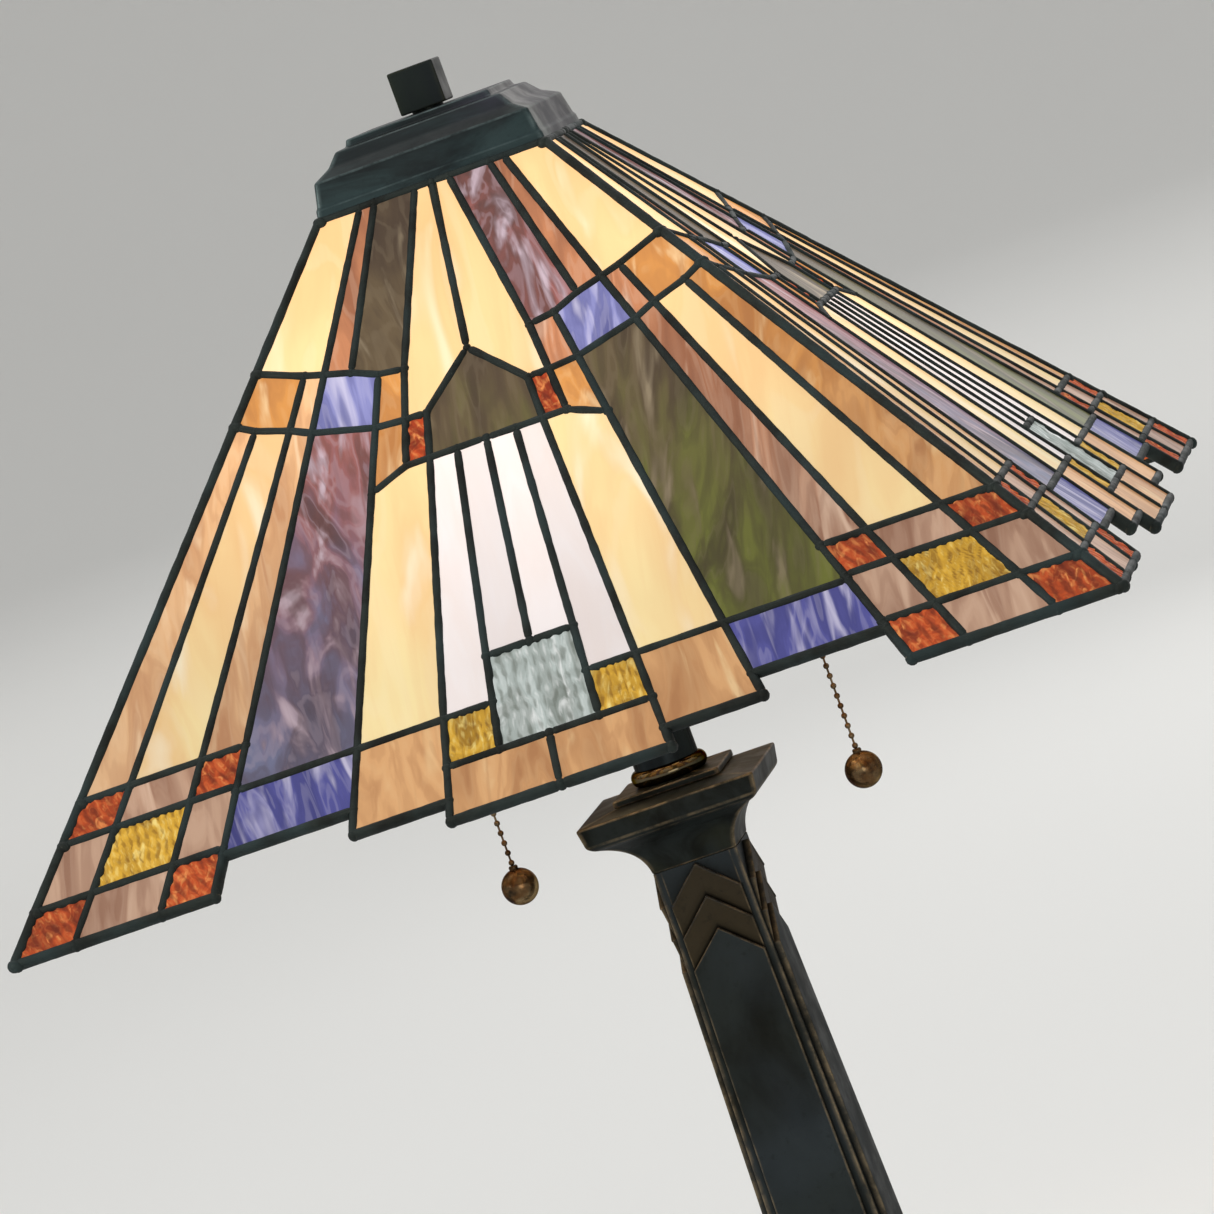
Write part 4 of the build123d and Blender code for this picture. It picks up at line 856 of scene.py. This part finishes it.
def make_leading():
    """The solder of each side: a bead along every line and a blob at every meeting point."""
    for turn, side in enumerate(SIDES):
        skin = Skin("wear")
        for number, line in enumerate(all_lines()):
            columns, rows = np.array(line, float).T
            up = cartoon_up(rows)
            rings = bead_of_solder(columns * half_width(up), up, turn, 50 * turn + number)
            skin.add(*lofted(rings))
        meetings = sorted({tuple(map(float, point)) for line in all_lines() for point in line})
        for number, (column, row) in enumerate(meetings):
            up = cartoon_up(row)
            skin.add(*lofted(blob_of_solder(column * half_width(up), up, turn, 900 * turn + number)))
        skin.piece(f"solder_{side}", solder(), "shade", "solder", [f"came_{side}"])


def make_hips():
    """The bead along each hip, a lumpy round bar a little inside the corner, with drawn-in ends: the hip's
    point at each share, plus its radius times cos(s) beside the hip and sin(s) outwards."""
    sizes = settings().shade
    skin = Skin("wear")
    low = on_panel(np.array(sizes.width / 2), np.array(0.0), np.array(0.0), 0)
    up, _, _ = shade_slope()
    high = on_panel(np.array(sizes.top_width / 2), np.array(up), np.array(0.0), 0)
    length_up = np.linalg.norm(high - low)
    count = int(length_up / (2.5 * MM))
    share = np.linspace(-0.002, 1, count)[:, None, None]
    run = (high - low) / length_up
    inward = np.array([-1, 1, 0]) / np.sqrt(2)
    inward = inward - run * (inward @ run)
    inward = inward / np.linalg.norm(inward)
    beside = np.cross(run, inward)
    s = np.linspace(0, 2 * np.pi, 16, endpoint=False)[None, :, None]
    for turn in range(4):
        at = share[:, 0, 0] * length_up
        lump = 1 + 0.07 * waves(at, 0 * at, 14 * MM, 70 + turn)
        lump = lump + 0.05 * waves(at, 0 * at, 6 * MM, 80 + turn)
        drawn = np.minimum(1, 0.7 + np.minimum(at + 0.001, at[-1] - at + 0.001) / (3 * MM))
        radius = (sizes.hip * lump * drawn)[:, None, None]
        middle = low + share * (high - low) + (0.7 * MM) * inward
        bar = middle + radius * (np.cos(s) * beside - np.sin(s) * inward)
        bar = np.concatenate([turned_sideways(bar[..., :2], turn), bar[..., 2:]], axis=-1)
        skin.add(*lofted(bar))
    skin.piece("hip_beads", solder(), "shade", "solder", ["hip_solder"])


# The cap's profile from its foot up: how far each step goes in and how far it goes up, in millimetres.
CAP_STEPS = ((0.5, 3.7), (0.6, 0.9), (1.7, 8.6), (5.8, 3.4), (3.7, 4.7), (3.6, 0.4), (0.8, 2.5))
CAP_ROUNDING, CAP_EDGE = 0.7 * MM, 1.3 * MM


def make_cap():
    """The stepped cap, a rounded profile carried round a square, and the finish of the collar under it."""
    m = settings().metal
    metal = finish("cap_patina", patina, m.cap, m.cap_deep, m.cap_bloom, m.cap_worn_and_lit, smooth=0.3,
                   rough=0.5, grain=55.0, streaks=(0.5, 0.5, 2), cloud=34.0)
    low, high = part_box("cap")
    half, foot = high.x, low.z
    runs = np.cumsum(CAP_STEPS, axis=0) * MM
    corners = [(half - 4 * MM, foot), (half, foot)]
    corners += [(half - step_in, foot + lift) for step_in, lift in runs]
    corners.append((4 * MM, foot + runs[-1, 1]))
    square_body("cap_steps", corners, CAP_ROUNDING, CAP_EDGE, metal, "shade", "cap_metal", ["cap"])
    dress(metal, "shade_collar")


def make_finial():
    """The cube on top, with its edges just broken, on a round boss."""
    m = settings().metal
    metal = finish("finial_patina", patina, m.finial, m.cap_deep, m.finial_bloom, m.olive,
                   smooth=0.34, rough=0.5)
    low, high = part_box("finial")
    half, boss = high.x, 0.8 * MM
    profile, worn_and_lit = eased(slab(half, low.z + boss, high.z), 0.7 * MM)
    rings, worn_and_lit = square_rings(profile, worn_and_lit, 0.6 * MM)
    skin = Skin("wear")
    skin.add(*lofted(rings), wear=closed(worn_and_lit))
    foot = np.array([(2, 0), (6, 0), (6, 0.9), (2, 0.9)]) * MM + (0, low.z)
    skin.add(*lofted(round_rings(foot, 32)))
    skin.piece("finial_cube", metal, "finial", "finial_metal", ["finial"])


# ---------------------------------------------------------------- the column's surfaces
def shaft_rows():
    """The rows of the shaft from its foot up, and the heights of its foot and top. A row holds its share q of
    the way from the foot to a chevron line, the height of that line's peak, how far the panel stands proud,
    its wear, which paints a highlight along each chevron's top edge, its grime, which paints shade with the
    patina in the recess above that edge, and its warmth. Above each line the panel steps back to a heel, and
    the next chevron swells out from there."""
    sizes = settings().column
    low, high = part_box("shaft")
    peaks = [high.z - 0.5 * MM - index * sizes.chevron_pitch for index in (2, 1, 0)]
    full, heel = sizes.panel_proud, 0.5 * MM
    rows = [(q, peaks[0] - 0.8 * MM, full, 0.0, 0.0, 0.0) for q in np.linspace(0, 1, 34)]
    for peak, following in zip(peaks, peaks[1:] + [None]):
        # Wear with a painted highlight along each chevron's top edge.
        rows += [(1, peak - 0.45 * MM, full, 0.5, 0, 0), (1, peak - 0.12 * MM, full * 0.97, 1, 0, 0),
                 (1, peak, full * 0.86, 1, 0, 0)]
        if following is None:
            break
        rise = following - peak
        # Above each edge the grime value paints shade, with patina, into the recess where the panel steps
        # back.
        rows += [(1, peak + 0.02 * MM, heel, 0, 1, 1), (1, peak + 0.5 * MM, heel + 0.06 * full, 0, 1, 1)]
        rows += [(1, peak + share * rise, heel + share * (full - heel), 0, max(0, 0.5 - 2 * share), 1)
                 for share in (0.15, 0.35, 0.6, 0.85, 0.93)]
    rows += [(1, peaks[-1] + 0.02 * MM, 0, 0, 1, 0), (1, peaks[-1] + 0.25 * MM, 0, 0, 0.6, 0)]
    return np.array(rows, float), low.z, high.z


# The points of a ring on one side of the shaft, from its left to its right: their share of the panel's half
# width, of the core beyond the panel, and of the panel's proud, how worn they are, with a painted highlight
# on the edges, and how grimy, with painted shade in the corners where the panels meet the core.
SHAFT_SIDE = np.array([
    (-1, -1, 0, 0.5, 0), (-1, -0.6, 0, 0, 0), (-1, -0.15, 0, 0, 0.5), (-1, 0, 0, 0, 1), (-1, 0, 0.86, 0.9, 0),
    (-0.985, 0, 0.97, 0.7, 0), (-0.95, 0, 1, 0, 0), (-0.7, 0, 1, 0, 0), (-0.35, 0, 1, 0, 0), (0, 0, 1, 0, 0),
    (0.35, 0, 1, 0, 0), (0.7, 0, 1, 0, 0), (0.95, 0, 1, 0, 0), (0.985, 0, 0.97, 0.7, 0),
    (1, 0, 0.86, 0.9, 0), (1, 0, 0, 0, 1), (1, 0.15, 0, 0, 0.5), (1, 0.6, 0, 0, 0), (1, 1, 0, 0.5, 0),
])


def make_shaft():
    """The shaft: rings that follow the chevrons' fall. A point at share t of the panel's half width lies at
    z = (1 - q) foot + q (peak - fall |t|), and stands out by the core's half width plus the panel's proud.
    The last rows climb from the top chevron to the level top."""
    sizes = settings().column
    rows, foot, top = shaft_rows()
    climb = np.concatenate([np.zeros(len(rows)), [0.35, 0.7, 1.0]])[:, None]
    rows = np.concatenate([rows, np.repeat(rows[-1:], 3, axis=0)])
    rows[-3:, 4] = (0.3, 0.1, 0)
    q, peak, proud, worn_and_lit, grime, warm = (column[:, None] for column in rows.T)
    t, beyond, stand, edge_worn_and_lit, corner_grime = SHAFT_SIDE.T
    on_face = stand > 0.5
    line = (1 - q) * foot + q * (peak - sizes.chevron_fall * np.abs(t))
    z = (1 - climb) * line + climb * top
    taper = np.clip((z - foot) / (top - foot - 2 * sizes.chevron_pitch), 0, 1)
    core = (sizes.core_foot + (sizes.core_neck - sizes.core_foot) * taper) / 2
    panel = (sizes.panel_foot + (sizes.panel_neck - sizes.panel_foot) * taper) / 2
    edge = sizes.edge
    crease = 1 - 0.10 * (proud < 0.99 * sizes.panel_proud) * np.abs(t)
    x = t * panel + beyond * (core - edge - panel)
    y = -(core + stand * proud * crease)
    flat = np.stack([x, y], axis=-1)
    angle = np.radians([30, 60])
    last = core[:, -1:] - edge
    round_off = np.stack([last + edge * np.sin(angle), -last - edge * np.cos(angle)], axis=-1)
    side = np.concatenate([flat, round_off], axis=1)
    height = np.concatenate([z, np.repeat(z[:, -1:], 2, axis=1)], axis=1)
    on_edge = 0 * z[:, :2]
    # Wear with a painted highlight on the panels' edges, the chevrons' tops and the shaft's corners.
    worn_and_lit = np.concatenate([np.maximum(worn_and_lit * on_face, edge_worn_and_lit + 0 * z), on_edge + 1], axis=1)
    # Grime with painted shade: in the recesses above the chevrons and in the corners where the panels meet
    # the core.
    grime = np.concatenate([np.maximum(grime * on_face, corner_grime * (proud > 0)), on_edge], axis=1)
    rings = np.concatenate([turned_sideways(side, turn) for turn in range(4)], axis=1)
    rings = np.concatenate([rings, np.tile(height, 4)[..., None]], axis=-1)
    warm = np.concatenate([warm * on_face, on_edge], axis=1)
    skin = Skin("wear", "grime", "warm")
    skin.add(*lofted(rings), wear=closed(np.tile(worn_and_lit, 4)), grime=closed(np.tile(grime, 4)),
             warm=closed(np.tile(warm, 4)))
    skin.piece("shaft_panels", bronze(), "base", "bronze", ["shaft"])


def make_capital():
    """The capital: a cavetto that leaves the shaft upright and sweeps out from A to C on the pull of B,
    (1 - t)^2 A + 2 t (1 - t) B + t^2 C, then a square block that leans out to its brow and slopes back to the
    plate above it."""
    m = settings().metal
    low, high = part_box("capital")
    neck, brow = settings().column.core_neck / 2, high.x
    t = np.linspace(0, 1, 12)[:, None]
    start = np.array((neck, low.z))
    pull = np.array((neck + 1.2 * MM, low.z + 12.2 * MM))
    end = np.array((brow - 3.1 * MM, low.z + 17.1 * MM))
    cavetto = (1 - t) ** 2 * start + 2 * t * (1 - t) * pull + t ** 2 * end
    block = [(brow - 1.2 * MM, low.z + 18.8 * MM), (brow, low.z + 26.4 * MM), (18.8 * MM, high.z),
             (2 * MM, high.z)]
    corners = np.concatenate([[(2 * MM, low.z)], cavetto, block])
    metal = finish("capital_patina", patina, m.bronze, m.bronze_deep, m.olive, m.copper, rough=0.56,
                   grain=55.0, streaks=(1, 1, 1), cloud=60.0)
    square_body("capital_block", corners, 0.9 * MM, 0.8 * MM, metal, "base", "bronze", ["capital"])
    low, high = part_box("neck_plate")
    plate = slab(high.x, low.z, high.z)
    square_body("neck_plate_top", plate, 0.7 * MM, 0.8 * MM, metal, "base", "bronze", ["neck_plate"])


def make_neck():
    """The half round ring and the tube over it. The ring's profile is half of an ellipse: its depth times
    cos(s) outwards and its half height times sin(s) upwards."""
    m = settings().metal
    low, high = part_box("neck_ring")
    tube_low, tube_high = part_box("neck_tube")
    middle, tall = (low.z + high.z) / 2, (high.z - low.z) / 2
    s = np.linspace(-np.pi / 2, np.pi / 2, 14)
    arc = np.stack([tube_high.x + (high.x - tube_high.x) * np.cos(s), middle + tall * np.sin(s)], axis=-1)
    ring = np.concatenate([[(4 * MM, low.z)], arc, [(4 * MM, high.z)]])
    skin = Skin("wear")
    skin.add(*lofted(round_rings(ring, 72)))
    gloss = finish("ring_bronze", patina, m.ring, m.olive, m.copper, m.copper, metallic=1.0, smooth=0.1,
                   rough=0.18)
    skin.piece("neck_ring_round", gloss, "base", "bronze", ["neck_ring"])
    top, foot = tube_high.z, tube_low.z
    tube = [(4 * MM, foot), (tube_high.x, foot), (tube_high.x, top), (4 * MM, top)]
    profile, worn_and_lit = eased(tube, 0.5 * MM)
    skin = Skin("wear")
    rings = round_rings(profile, 64)
    skin.add(*lofted(rings), wear=closed(np.repeat(worn_and_lit[:, None], 64, axis=1)))
    streaked = finish("tube_bronze", patina, m.bronze, m.bronze_deep, m.bronze_bloom, m.copper,
                      metallic=0.8, smooth=0.26, rough=0.42, grain=70.0, streaks=(3.2, 3.2, 0.25))
    skin.piece("neck_tube_round", streaked, "base", "bronze", ["neck_tube"])


# The heights of the plinth's two steps and how far in they lie, and the half width at which its slope ends.
PLINTH_STEPS, PLINTH_INSETS, PLINTH_TOP = (12.5 * MM, 18.5 * MM), (6 * MM, 10 * MM), 36 * MM
# The height of the foot block's step and of its lip, how far in the step lies, and the lip's clearance.
FOOT_STEP, FOOT_INSET, LIP_CLEARANCE = 4.5 * MM, 3 * MM, 1.6 * MM
THROAT_RADIUS = 3.15 * MM


def make_base():
    """The plinth in steps, the foot block on it, and what shows underneath and behind. The dark disc in the
    bushing's throat is painted shadow in place of the shade inside the hole: a circle in X and Z, a little
    behind the plinth."""
    low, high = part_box("plinth")
    half = high.x
    (lower, upper), (outer, inner) = PLINTH_STEPS, PLINTH_INSETS
    plinth = [(2 * MM, low.z), (half, low.z), (half, low.z + lower), (half - outer, low.z + lower),
              (half - outer, low.z + upper), (half - inner, low.z + upper), (PLINTH_TOP, high.z),
              (2 * MM, high.z)]
    square_body("plinth_steps", plinth, 0.9 * MM, 1.0 * MM, bronze(), "base", "bronze", ["plinth"])
    low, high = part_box("foot_block")
    half, step = high.x, low.z + FOOT_STEP
    lip = settings().column.core_foot / 2 + settings().column.panel_proud + LIP_CLEARANCE
    foot = [(2 * MM, low.z), (half, low.z), (half, step), (half - FOOT_INSET, step),
            (lip, high.z - FOOT_STEP), (lip, high.z), (2 * MM, high.z)]
    square_body("foot_steps", foot, 0.8 * MM, 0.9 * MM, bronze(), "base", "bronze", ["foot_block"])
    iron = tuple(settings().metal.iron)
    dress(finish("felt", dull, linear(44, 60, 52), rough=0.98, grain=900.0, depth=0.5 * MM), "felt_pad")
    dress(finish("raw_iron", dull, iron, rough=0.85, grain=300.0, depth=0.4 * MM), "ballast")
    rubber = finish("black_bushing", dull, linear(34, 33, 32), rough=0.5, grain=500.0, depth=0.1 * MM)
    dress(rubber, "cord_bushing")
    dress(steel(), "cover_plate")
    low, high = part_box("cord_bushing")
    z, y = (low.z + high.z) / 2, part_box("plinth")[1].y
    # Painted shadow: a near-black disc that closes the bushing's throat, where only shade would show.
    s = np.linspace(0, 2 * np.pi, 24, endpoint=False)
    depth = np.array([0.02, 0.25])[:, None] * MM
    x, rise = THROAT_RADIUS * np.cos(s), THROAT_RADIUS * np.sin(s)
    throat = np.stack([x + 0 * depth, y + depth + 0 * s, z + rise + 0 * depth], axis=-1)
    skin = Skin()
    skin.add(*lofted(throat))
    dark = finish("dark_throat", dull, linear(14, 13, 12), rough=0.9, grain=400.0, depth=0.1 * MM)
    skin.piece("bushing_throat", dark, "base", "bushing")


# ---------------------------------------------------------------- what hangs and sits under the shade
def make_cluster():
    """Finishes for the cluster, its arms, the sockets, the guides and the hidden hardware."""
    dress(steel(), "stem_pipe", "stem_washer", "stem_nut", "riser_rod", "seat_nut", "seat_washer")
    dress(socket_brass(), "cluster_body", "riser_coupling")
    resin = finish("phenolic", dull, linear(40, 30, 26), rough=0.45, grain=400.0, depth=0.1 * MM)
    for side in ("left", "right"):
        brassy = [f"{part}_{side}" for part in ("cluster_arm", "socket_cap", "socket_shell", "chain_guide")]
        dress(socket_brass(), *brassy)
        dress(resin, f"socket_interior_{side}")


def make_bulbs():
    """Finishes for the bulbs: frosted glass that glows, and a plated cap. The glass casts no shadow, so that
    the light inside it gets out."""
    for side in ("left", "right"):
        dress(finish("frosted_bulb", opal), f"bulb_globe_{side}")
        dress(steel(), f"bulb_base_{side}")
        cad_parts[f"bulb_globe_{side}"].visible_shadow = False


def beaded(centres, radius, wire, low, high):
    """The profile of beads on a wire, from low to high: at each height the larger of the wire's radius and
    the circle of the bead, the square root of R^2 - (z - centre)^2."""
    reach = np.sqrt(radius ** 2 - wire ** 2)
    turn = np.linspace(-1, 1, 11)
    bead_z = (np.sort(centres)[:, None] + reach * np.sin(turn * np.pi / 2)).ravel()
    z = np.concatenate([[low], bead_z[(bead_z > low) & (bead_z < high)], [high]])
    near = np.abs(z[:, None] - centres).min(axis=1)
    round_part = np.sqrt(np.maximum(radius ** 2 - near ** 2, 0))
    return np.stack([np.maximum(round_part, wire), z], axis=-1)


BEAD_RADIUS, WIRE_RADIUS, BEAD_PITCH = 1.15 * MM, 0.4 * MM, 3.9 * MM
# The runs of each chain: the node, the body that it rides, its first bead and how many beads it has.
CHAIN_RUNS = (("pull_link", "pull", -1, 1), ("chain_upper", "chain", 0, 11), ("chain_lower", "ball", 11, 11))


def make_chains():
    """Each pull chain: a link that slides, an upper and a lower run of beads, and the ball, which is a circle
    turned about the upright axis, with a small collar on top."""
    for side in ("left", "right"):
        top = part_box(f"chain_upper_{side}")[1].z - BEAD_RADIUS
        for run, body, first, count in CHAIN_RUNS:
            node = f"{run}_{side}"
            low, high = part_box(node)
            x = (low.x + high.x) / 2
            centres = top - BEAD_PITCH * (first + np.arange(count))
            profile = beaded(centres, BEAD_RADIUS, WIRE_RADIUS, low.z, high.z)
            skin = Skin("wear")
            skin.add(*lofted(round_rings(profile, 14, x)), wear=0.25)
            skin.piece(f"beads_{node}", bead_brass(), f"{body}_{side}", "chain_brass", [node])
        low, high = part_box(f"ball_pull_{side}")
        x, radius = (low.x + high.x) / 2, (high.x - low.x) / 2
        centre = low.z + radius
        s = np.linspace(-np.pi / 2 + 0.04, np.pi / 2 - 0.24, 36)
        ball = np.stack([radius * np.cos(s), centre + radius * np.sin(s)], axis=-1)
        collar = [(1.7 * MM, high.z - 1.0 * MM), (1.75 * MM, high.z - 0.5 * MM), (1.4 * MM, high.z)]
        skin = Skin("wear")
        skin.add(*lofted(round_rings(np.concatenate([ball, collar]), 48, x)), wear=0.3)
        skin.piece(f"ball_{side}_round", brass(), f"ball_{side}", "chain_brass", [f"ball_pull_{side}"])


# ---------------------------------------------------------------- the stage
# The radius of the curve between the floor and the wall, and the wall's heights above that curve, in metres.
TURN_UP, WALL_HEIGHTS = 3.2, np.array([1.0, 2.5, 4.5])


def make_floor():
    """A pale floor that turns up into a wall all round. Between them lies a quarter circle of radius R, at
    the floor's radius + R sin(s) and at the height R (1 - cos(s))."""
    stage = settings().stage
    s = np.linspace(0, np.pi / 2, 24)[1:]
    flat = np.linspace(0.3, stage.floor_radius, 10)
    curve = stage.floor_radius + TURN_UP * np.sin(s)
    wall = np.full(len(WALL_HEIGHTS), stage.floor_radius + TURN_UP)
    radius = np.concatenate([flat, curve, wall])
    z = np.concatenate([0 * flat, TURN_UP * (1 - np.cos(s)), TURN_UP + WALL_HEIGHTS])
    rings = round_rings(np.stack([radius, z], axis=-1), 96)
    rows, columns = rings.shape[:2]
    here = np.arange(rows * columns).reshape(rows, columns)
    beside = np.roll(here, -1, axis=1)
    quads = np.stack([here[:-1], beside[:-1], beside[1:], here[1:]], axis=-1).reshape(-1, 4)[:, ::-1]
    middle = np.stack([here[0], beside[0], np.full(columns, rows * columns)], axis=-1)
    points = np.concatenate([rings.reshape(-1, 3), [(0, 0, 0)]])
    mesh = bpy.data.meshes.new("floor")
    mesh.from_pydata(points.tolist(), [], quads.tolist() + middle.tolist())
    mesh.shade_smooth()
    mesh.materials.append(finish("floor_paper", paper, tuple(stage.floor)))
    floor = bpy.data.objects.new("floor", mesh)
    bpy.context.scene.collection.objects.link(floor)
    floor.visible_glossy = False


def area_light(name, place, aim, size, watts, colour):
    """A rectangular light at a place, turned towards its aim."""
    light = bpy.data.lights.new(name, "AREA")
    light.shape = "RECTANGLE"
    light.size, light.size_y = size
    light.energy = watts
    light.color = colour
    lamp = bpy.data.objects.new(name, light)
    bpy.context.scene.collection.objects.link(lamp)
    back = np.array(place, float) - aim
    lamp.matrix_world = looking(place, back, (0, 0, 1))


def looking(place, back, up):
    """The matrix of a light or a camera at place, whose back points along back."""
    back = np.array(back, float) / np.linalg.norm(back)
    right = np.cross(up, back)
    right = right / np.linalg.norm(right)
    columns = np.stack([right, np.cross(back, right), back, place], axis=-1)
    return Matrix([*columns.tolist(), (0, 0, 0, 1)])


def make_lights():
    """Five soft lights round the lamp, a light inside each bulb, and an even light from all round."""
    stage = settings().stage
    middle = (0, 0, 0.42)
    area_light("key", (-2.0, -2.1, 1.9), middle, (1.6, 1.6), stage.key, (1.0, 0.99, 0.97))
    area_light("fill", (1.0, -2.9, 0.9), middle, (1.6, 1.6), stage.fill, (1.0, 0.97, 0.93))
    area_light("top", (0.0, 0.3, 2.9), middle, (2.4, 2.4), stage.fill, (0.98, 0.99, 1.0))
    area_light("rim", (0.6, 2.8, 1.3), middle, (1.6, 1.6), 0.4 * stage.fill, (1.0, 1.0, 1.0))
    area_light("backdrop", (-0.6, 5.2, 3.6), (-0.6, 5.4, 0), (5.0, 3.0), stage.backdrop, (1.0, 1.0, 0.99))
    for side in ("left", "right"):
        low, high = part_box(f"bulb_globe_{side}")
        light = bpy.data.lights.new(f"bulb_light_{side}", "POINT")
        light.energy = stage.lamp
        light.color = (1.0, 0.86, 0.68)
        light.shadow_soft_size = 0.02
        lamp = bpy.data.objects.new(f"bulb_light_{side}", light)
        lamp.location = (low + high) / 2
        bpy.context.scene.collection.objects.link(lamp)
    world = bpy.data.worlds.new("studio")
    world.use_nodes = True
    background = world.node_tree.nodes["Background"]
    background.inputs["Color"].default_value = (0.86, 0.87, 0.88, 1)
    background.inputs["Strength"].default_value = 0.55
    bpy.context.scene.world = world
    bpy.context.scene.view_settings.view_transform = "Standard"


def make_camera():
    """A long lens, close to level, rolled about its line of sight. It looks back along a line of the given
    azimuth and elevation, and both its place and its aim lie a little beside the lamp's axis."""
    azimuth, elevation, roll = np.radians([10.314, 4.968, -20.074])
    distance, aim_height, aim_side = 2.5501, 0.42402, -0.00113
    level = np.cos(elevation)
    back = np.array([np.sin(azimuth) * level, -np.cos(azimuth) * level, np.sin(elevation)])
    right = np.array([np.cos(azimuth), np.sin(azimuth), 0])
    up = np.cross(back, right)
    place = aim_side * right + np.array([0, 0, aim_height]) + distance * back
    rolled = np.cos(roll) * up - np.sin(roll) * right
    camera = bpy.data.cameras.new("camera")
    camera.lens, camera.sensor_width = 205.6, 36
    view = bpy.data.objects.new("camera", camera)
    view.matrix_world = looking(place, back, rolled)
    bpy.context.scene.collection.objects.link(view)
    bpy.context.scene.camera = view


# ---------------------------------------------------------------- operators
class LAMP_OT_glass(Operator):
    """Lays the glass of all four sides"""
    bl_idname = "lamp.glass"
    bl_label = "Lay the glass"

    def execute(self, context):
        make_glass()
        return {"FINISHED"}


class LAMP_OT_solder(Operator):
    """Runs the solder lines and the hip beads"""
    bl_idname = "lamp.solder"
    bl_label = "Run the solder"

    def execute(self, context):
        make_leading()
        make_hips()
        return {"FINISHED"}


class LAMP_OT_cap(Operator):
    """Casts the cap and the finial"""
    bl_idname = "lamp.cap"
    bl_label = "Cast the cap and finial"

    def execute(self, context):
        make_cap()
        make_finial()
        return {"FINISHED"}


class LAMP_OT_column(Operator):
    """Casts the shaft, the capital and the neck"""
    bl_idname = "lamp.column"
    bl_label = "Cast the column"

    def execute(self, context):
        make_shaft()
        make_capital()
        make_neck()
        return {"FINISHED"}


class LAMP_OT_base(Operator):
    """Casts the plinth and the foot block"""
    bl_idname = "lamp.base"
    bl_label = "Cast the base"

    def execute(self, context):
        make_base()
        return {"FINISHED"}


class LAMP_OT_cluster(Operator):
    """Finishes the light cluster, the sockets and the bulbs"""
    bl_idname = "lamp.cluster"
    bl_label = "Finish the light cluster"

    def execute(self, context):
        make_cluster()
        make_bulbs()
        return {"FINISHED"}


class LAMP_OT_chains(Operator):
    """Strings the pull chains"""
    bl_idname = "lamp.chains"
    bl_label = "String the pull chains"

    def execute(self, context):
        make_chains()
        return {"FINISHED"}


class LAMP_OT_stage(Operator):
    """Sets up the floor, the lights and the camera"""
    bl_idname = "lamp.stage"
    bl_label = "Set the stage"

    def execute(self, context):
        make_floor()
        make_lights()
        make_camera()
        return {"FINISHED"}


OPERATORS = (LAMP_OT_glass, LAMP_OT_solder, LAMP_OT_cap, LAMP_OT_column, LAMP_OT_base, LAMP_OT_cluster,
             LAMP_OT_chains, LAMP_OT_stage)


class LAMP_PT_panel(Panel):
    """Lists the lamp's sizes, colours and operators"""
    bl_idname = "LAMP_PT_panel"
    bl_label = "Leaded glass lamp"
    bl_space_type = "VIEW_3D"
    bl_region_type = "UI"
    bl_category = "Lamp"

    def draw(self, context):
        for group_name in ("shade", "column", "glass", "metal", "stage"):
            group = getattr(context.scene.lamp, group_name)
            box = self.layout.box()
            box.label(text=group_name.capitalize())
            for name in type(group).__annotations__:
                box.prop(group, name)
        for operator in OPERATORS:
            self.layout.operator(operator.bl_idname)


CLASSES = (ShadeSizes, ColumnSizes, GlassColours, MetalColours, StageSettings, LampSettings, *OPERATORS,
           LAMP_PT_panel)


def register():
    for cls in CLASSES:
        bpy.utils.register_class(cls)
    bpy.types.Scene.lamp = PointerProperty(type=LampSettings)


def unregister():
    del bpy.types.Scene.lamp
    for cls in reversed(CLASSES):
        bpy.utils.unregister_class(cls)


def main():
    register()
    for operator in OPERATORS:
        group, name = operator.bl_idname.split(".")
        getattr(getattr(bpy.ops, group), name)()


if __name__ == "__main__":
    main()
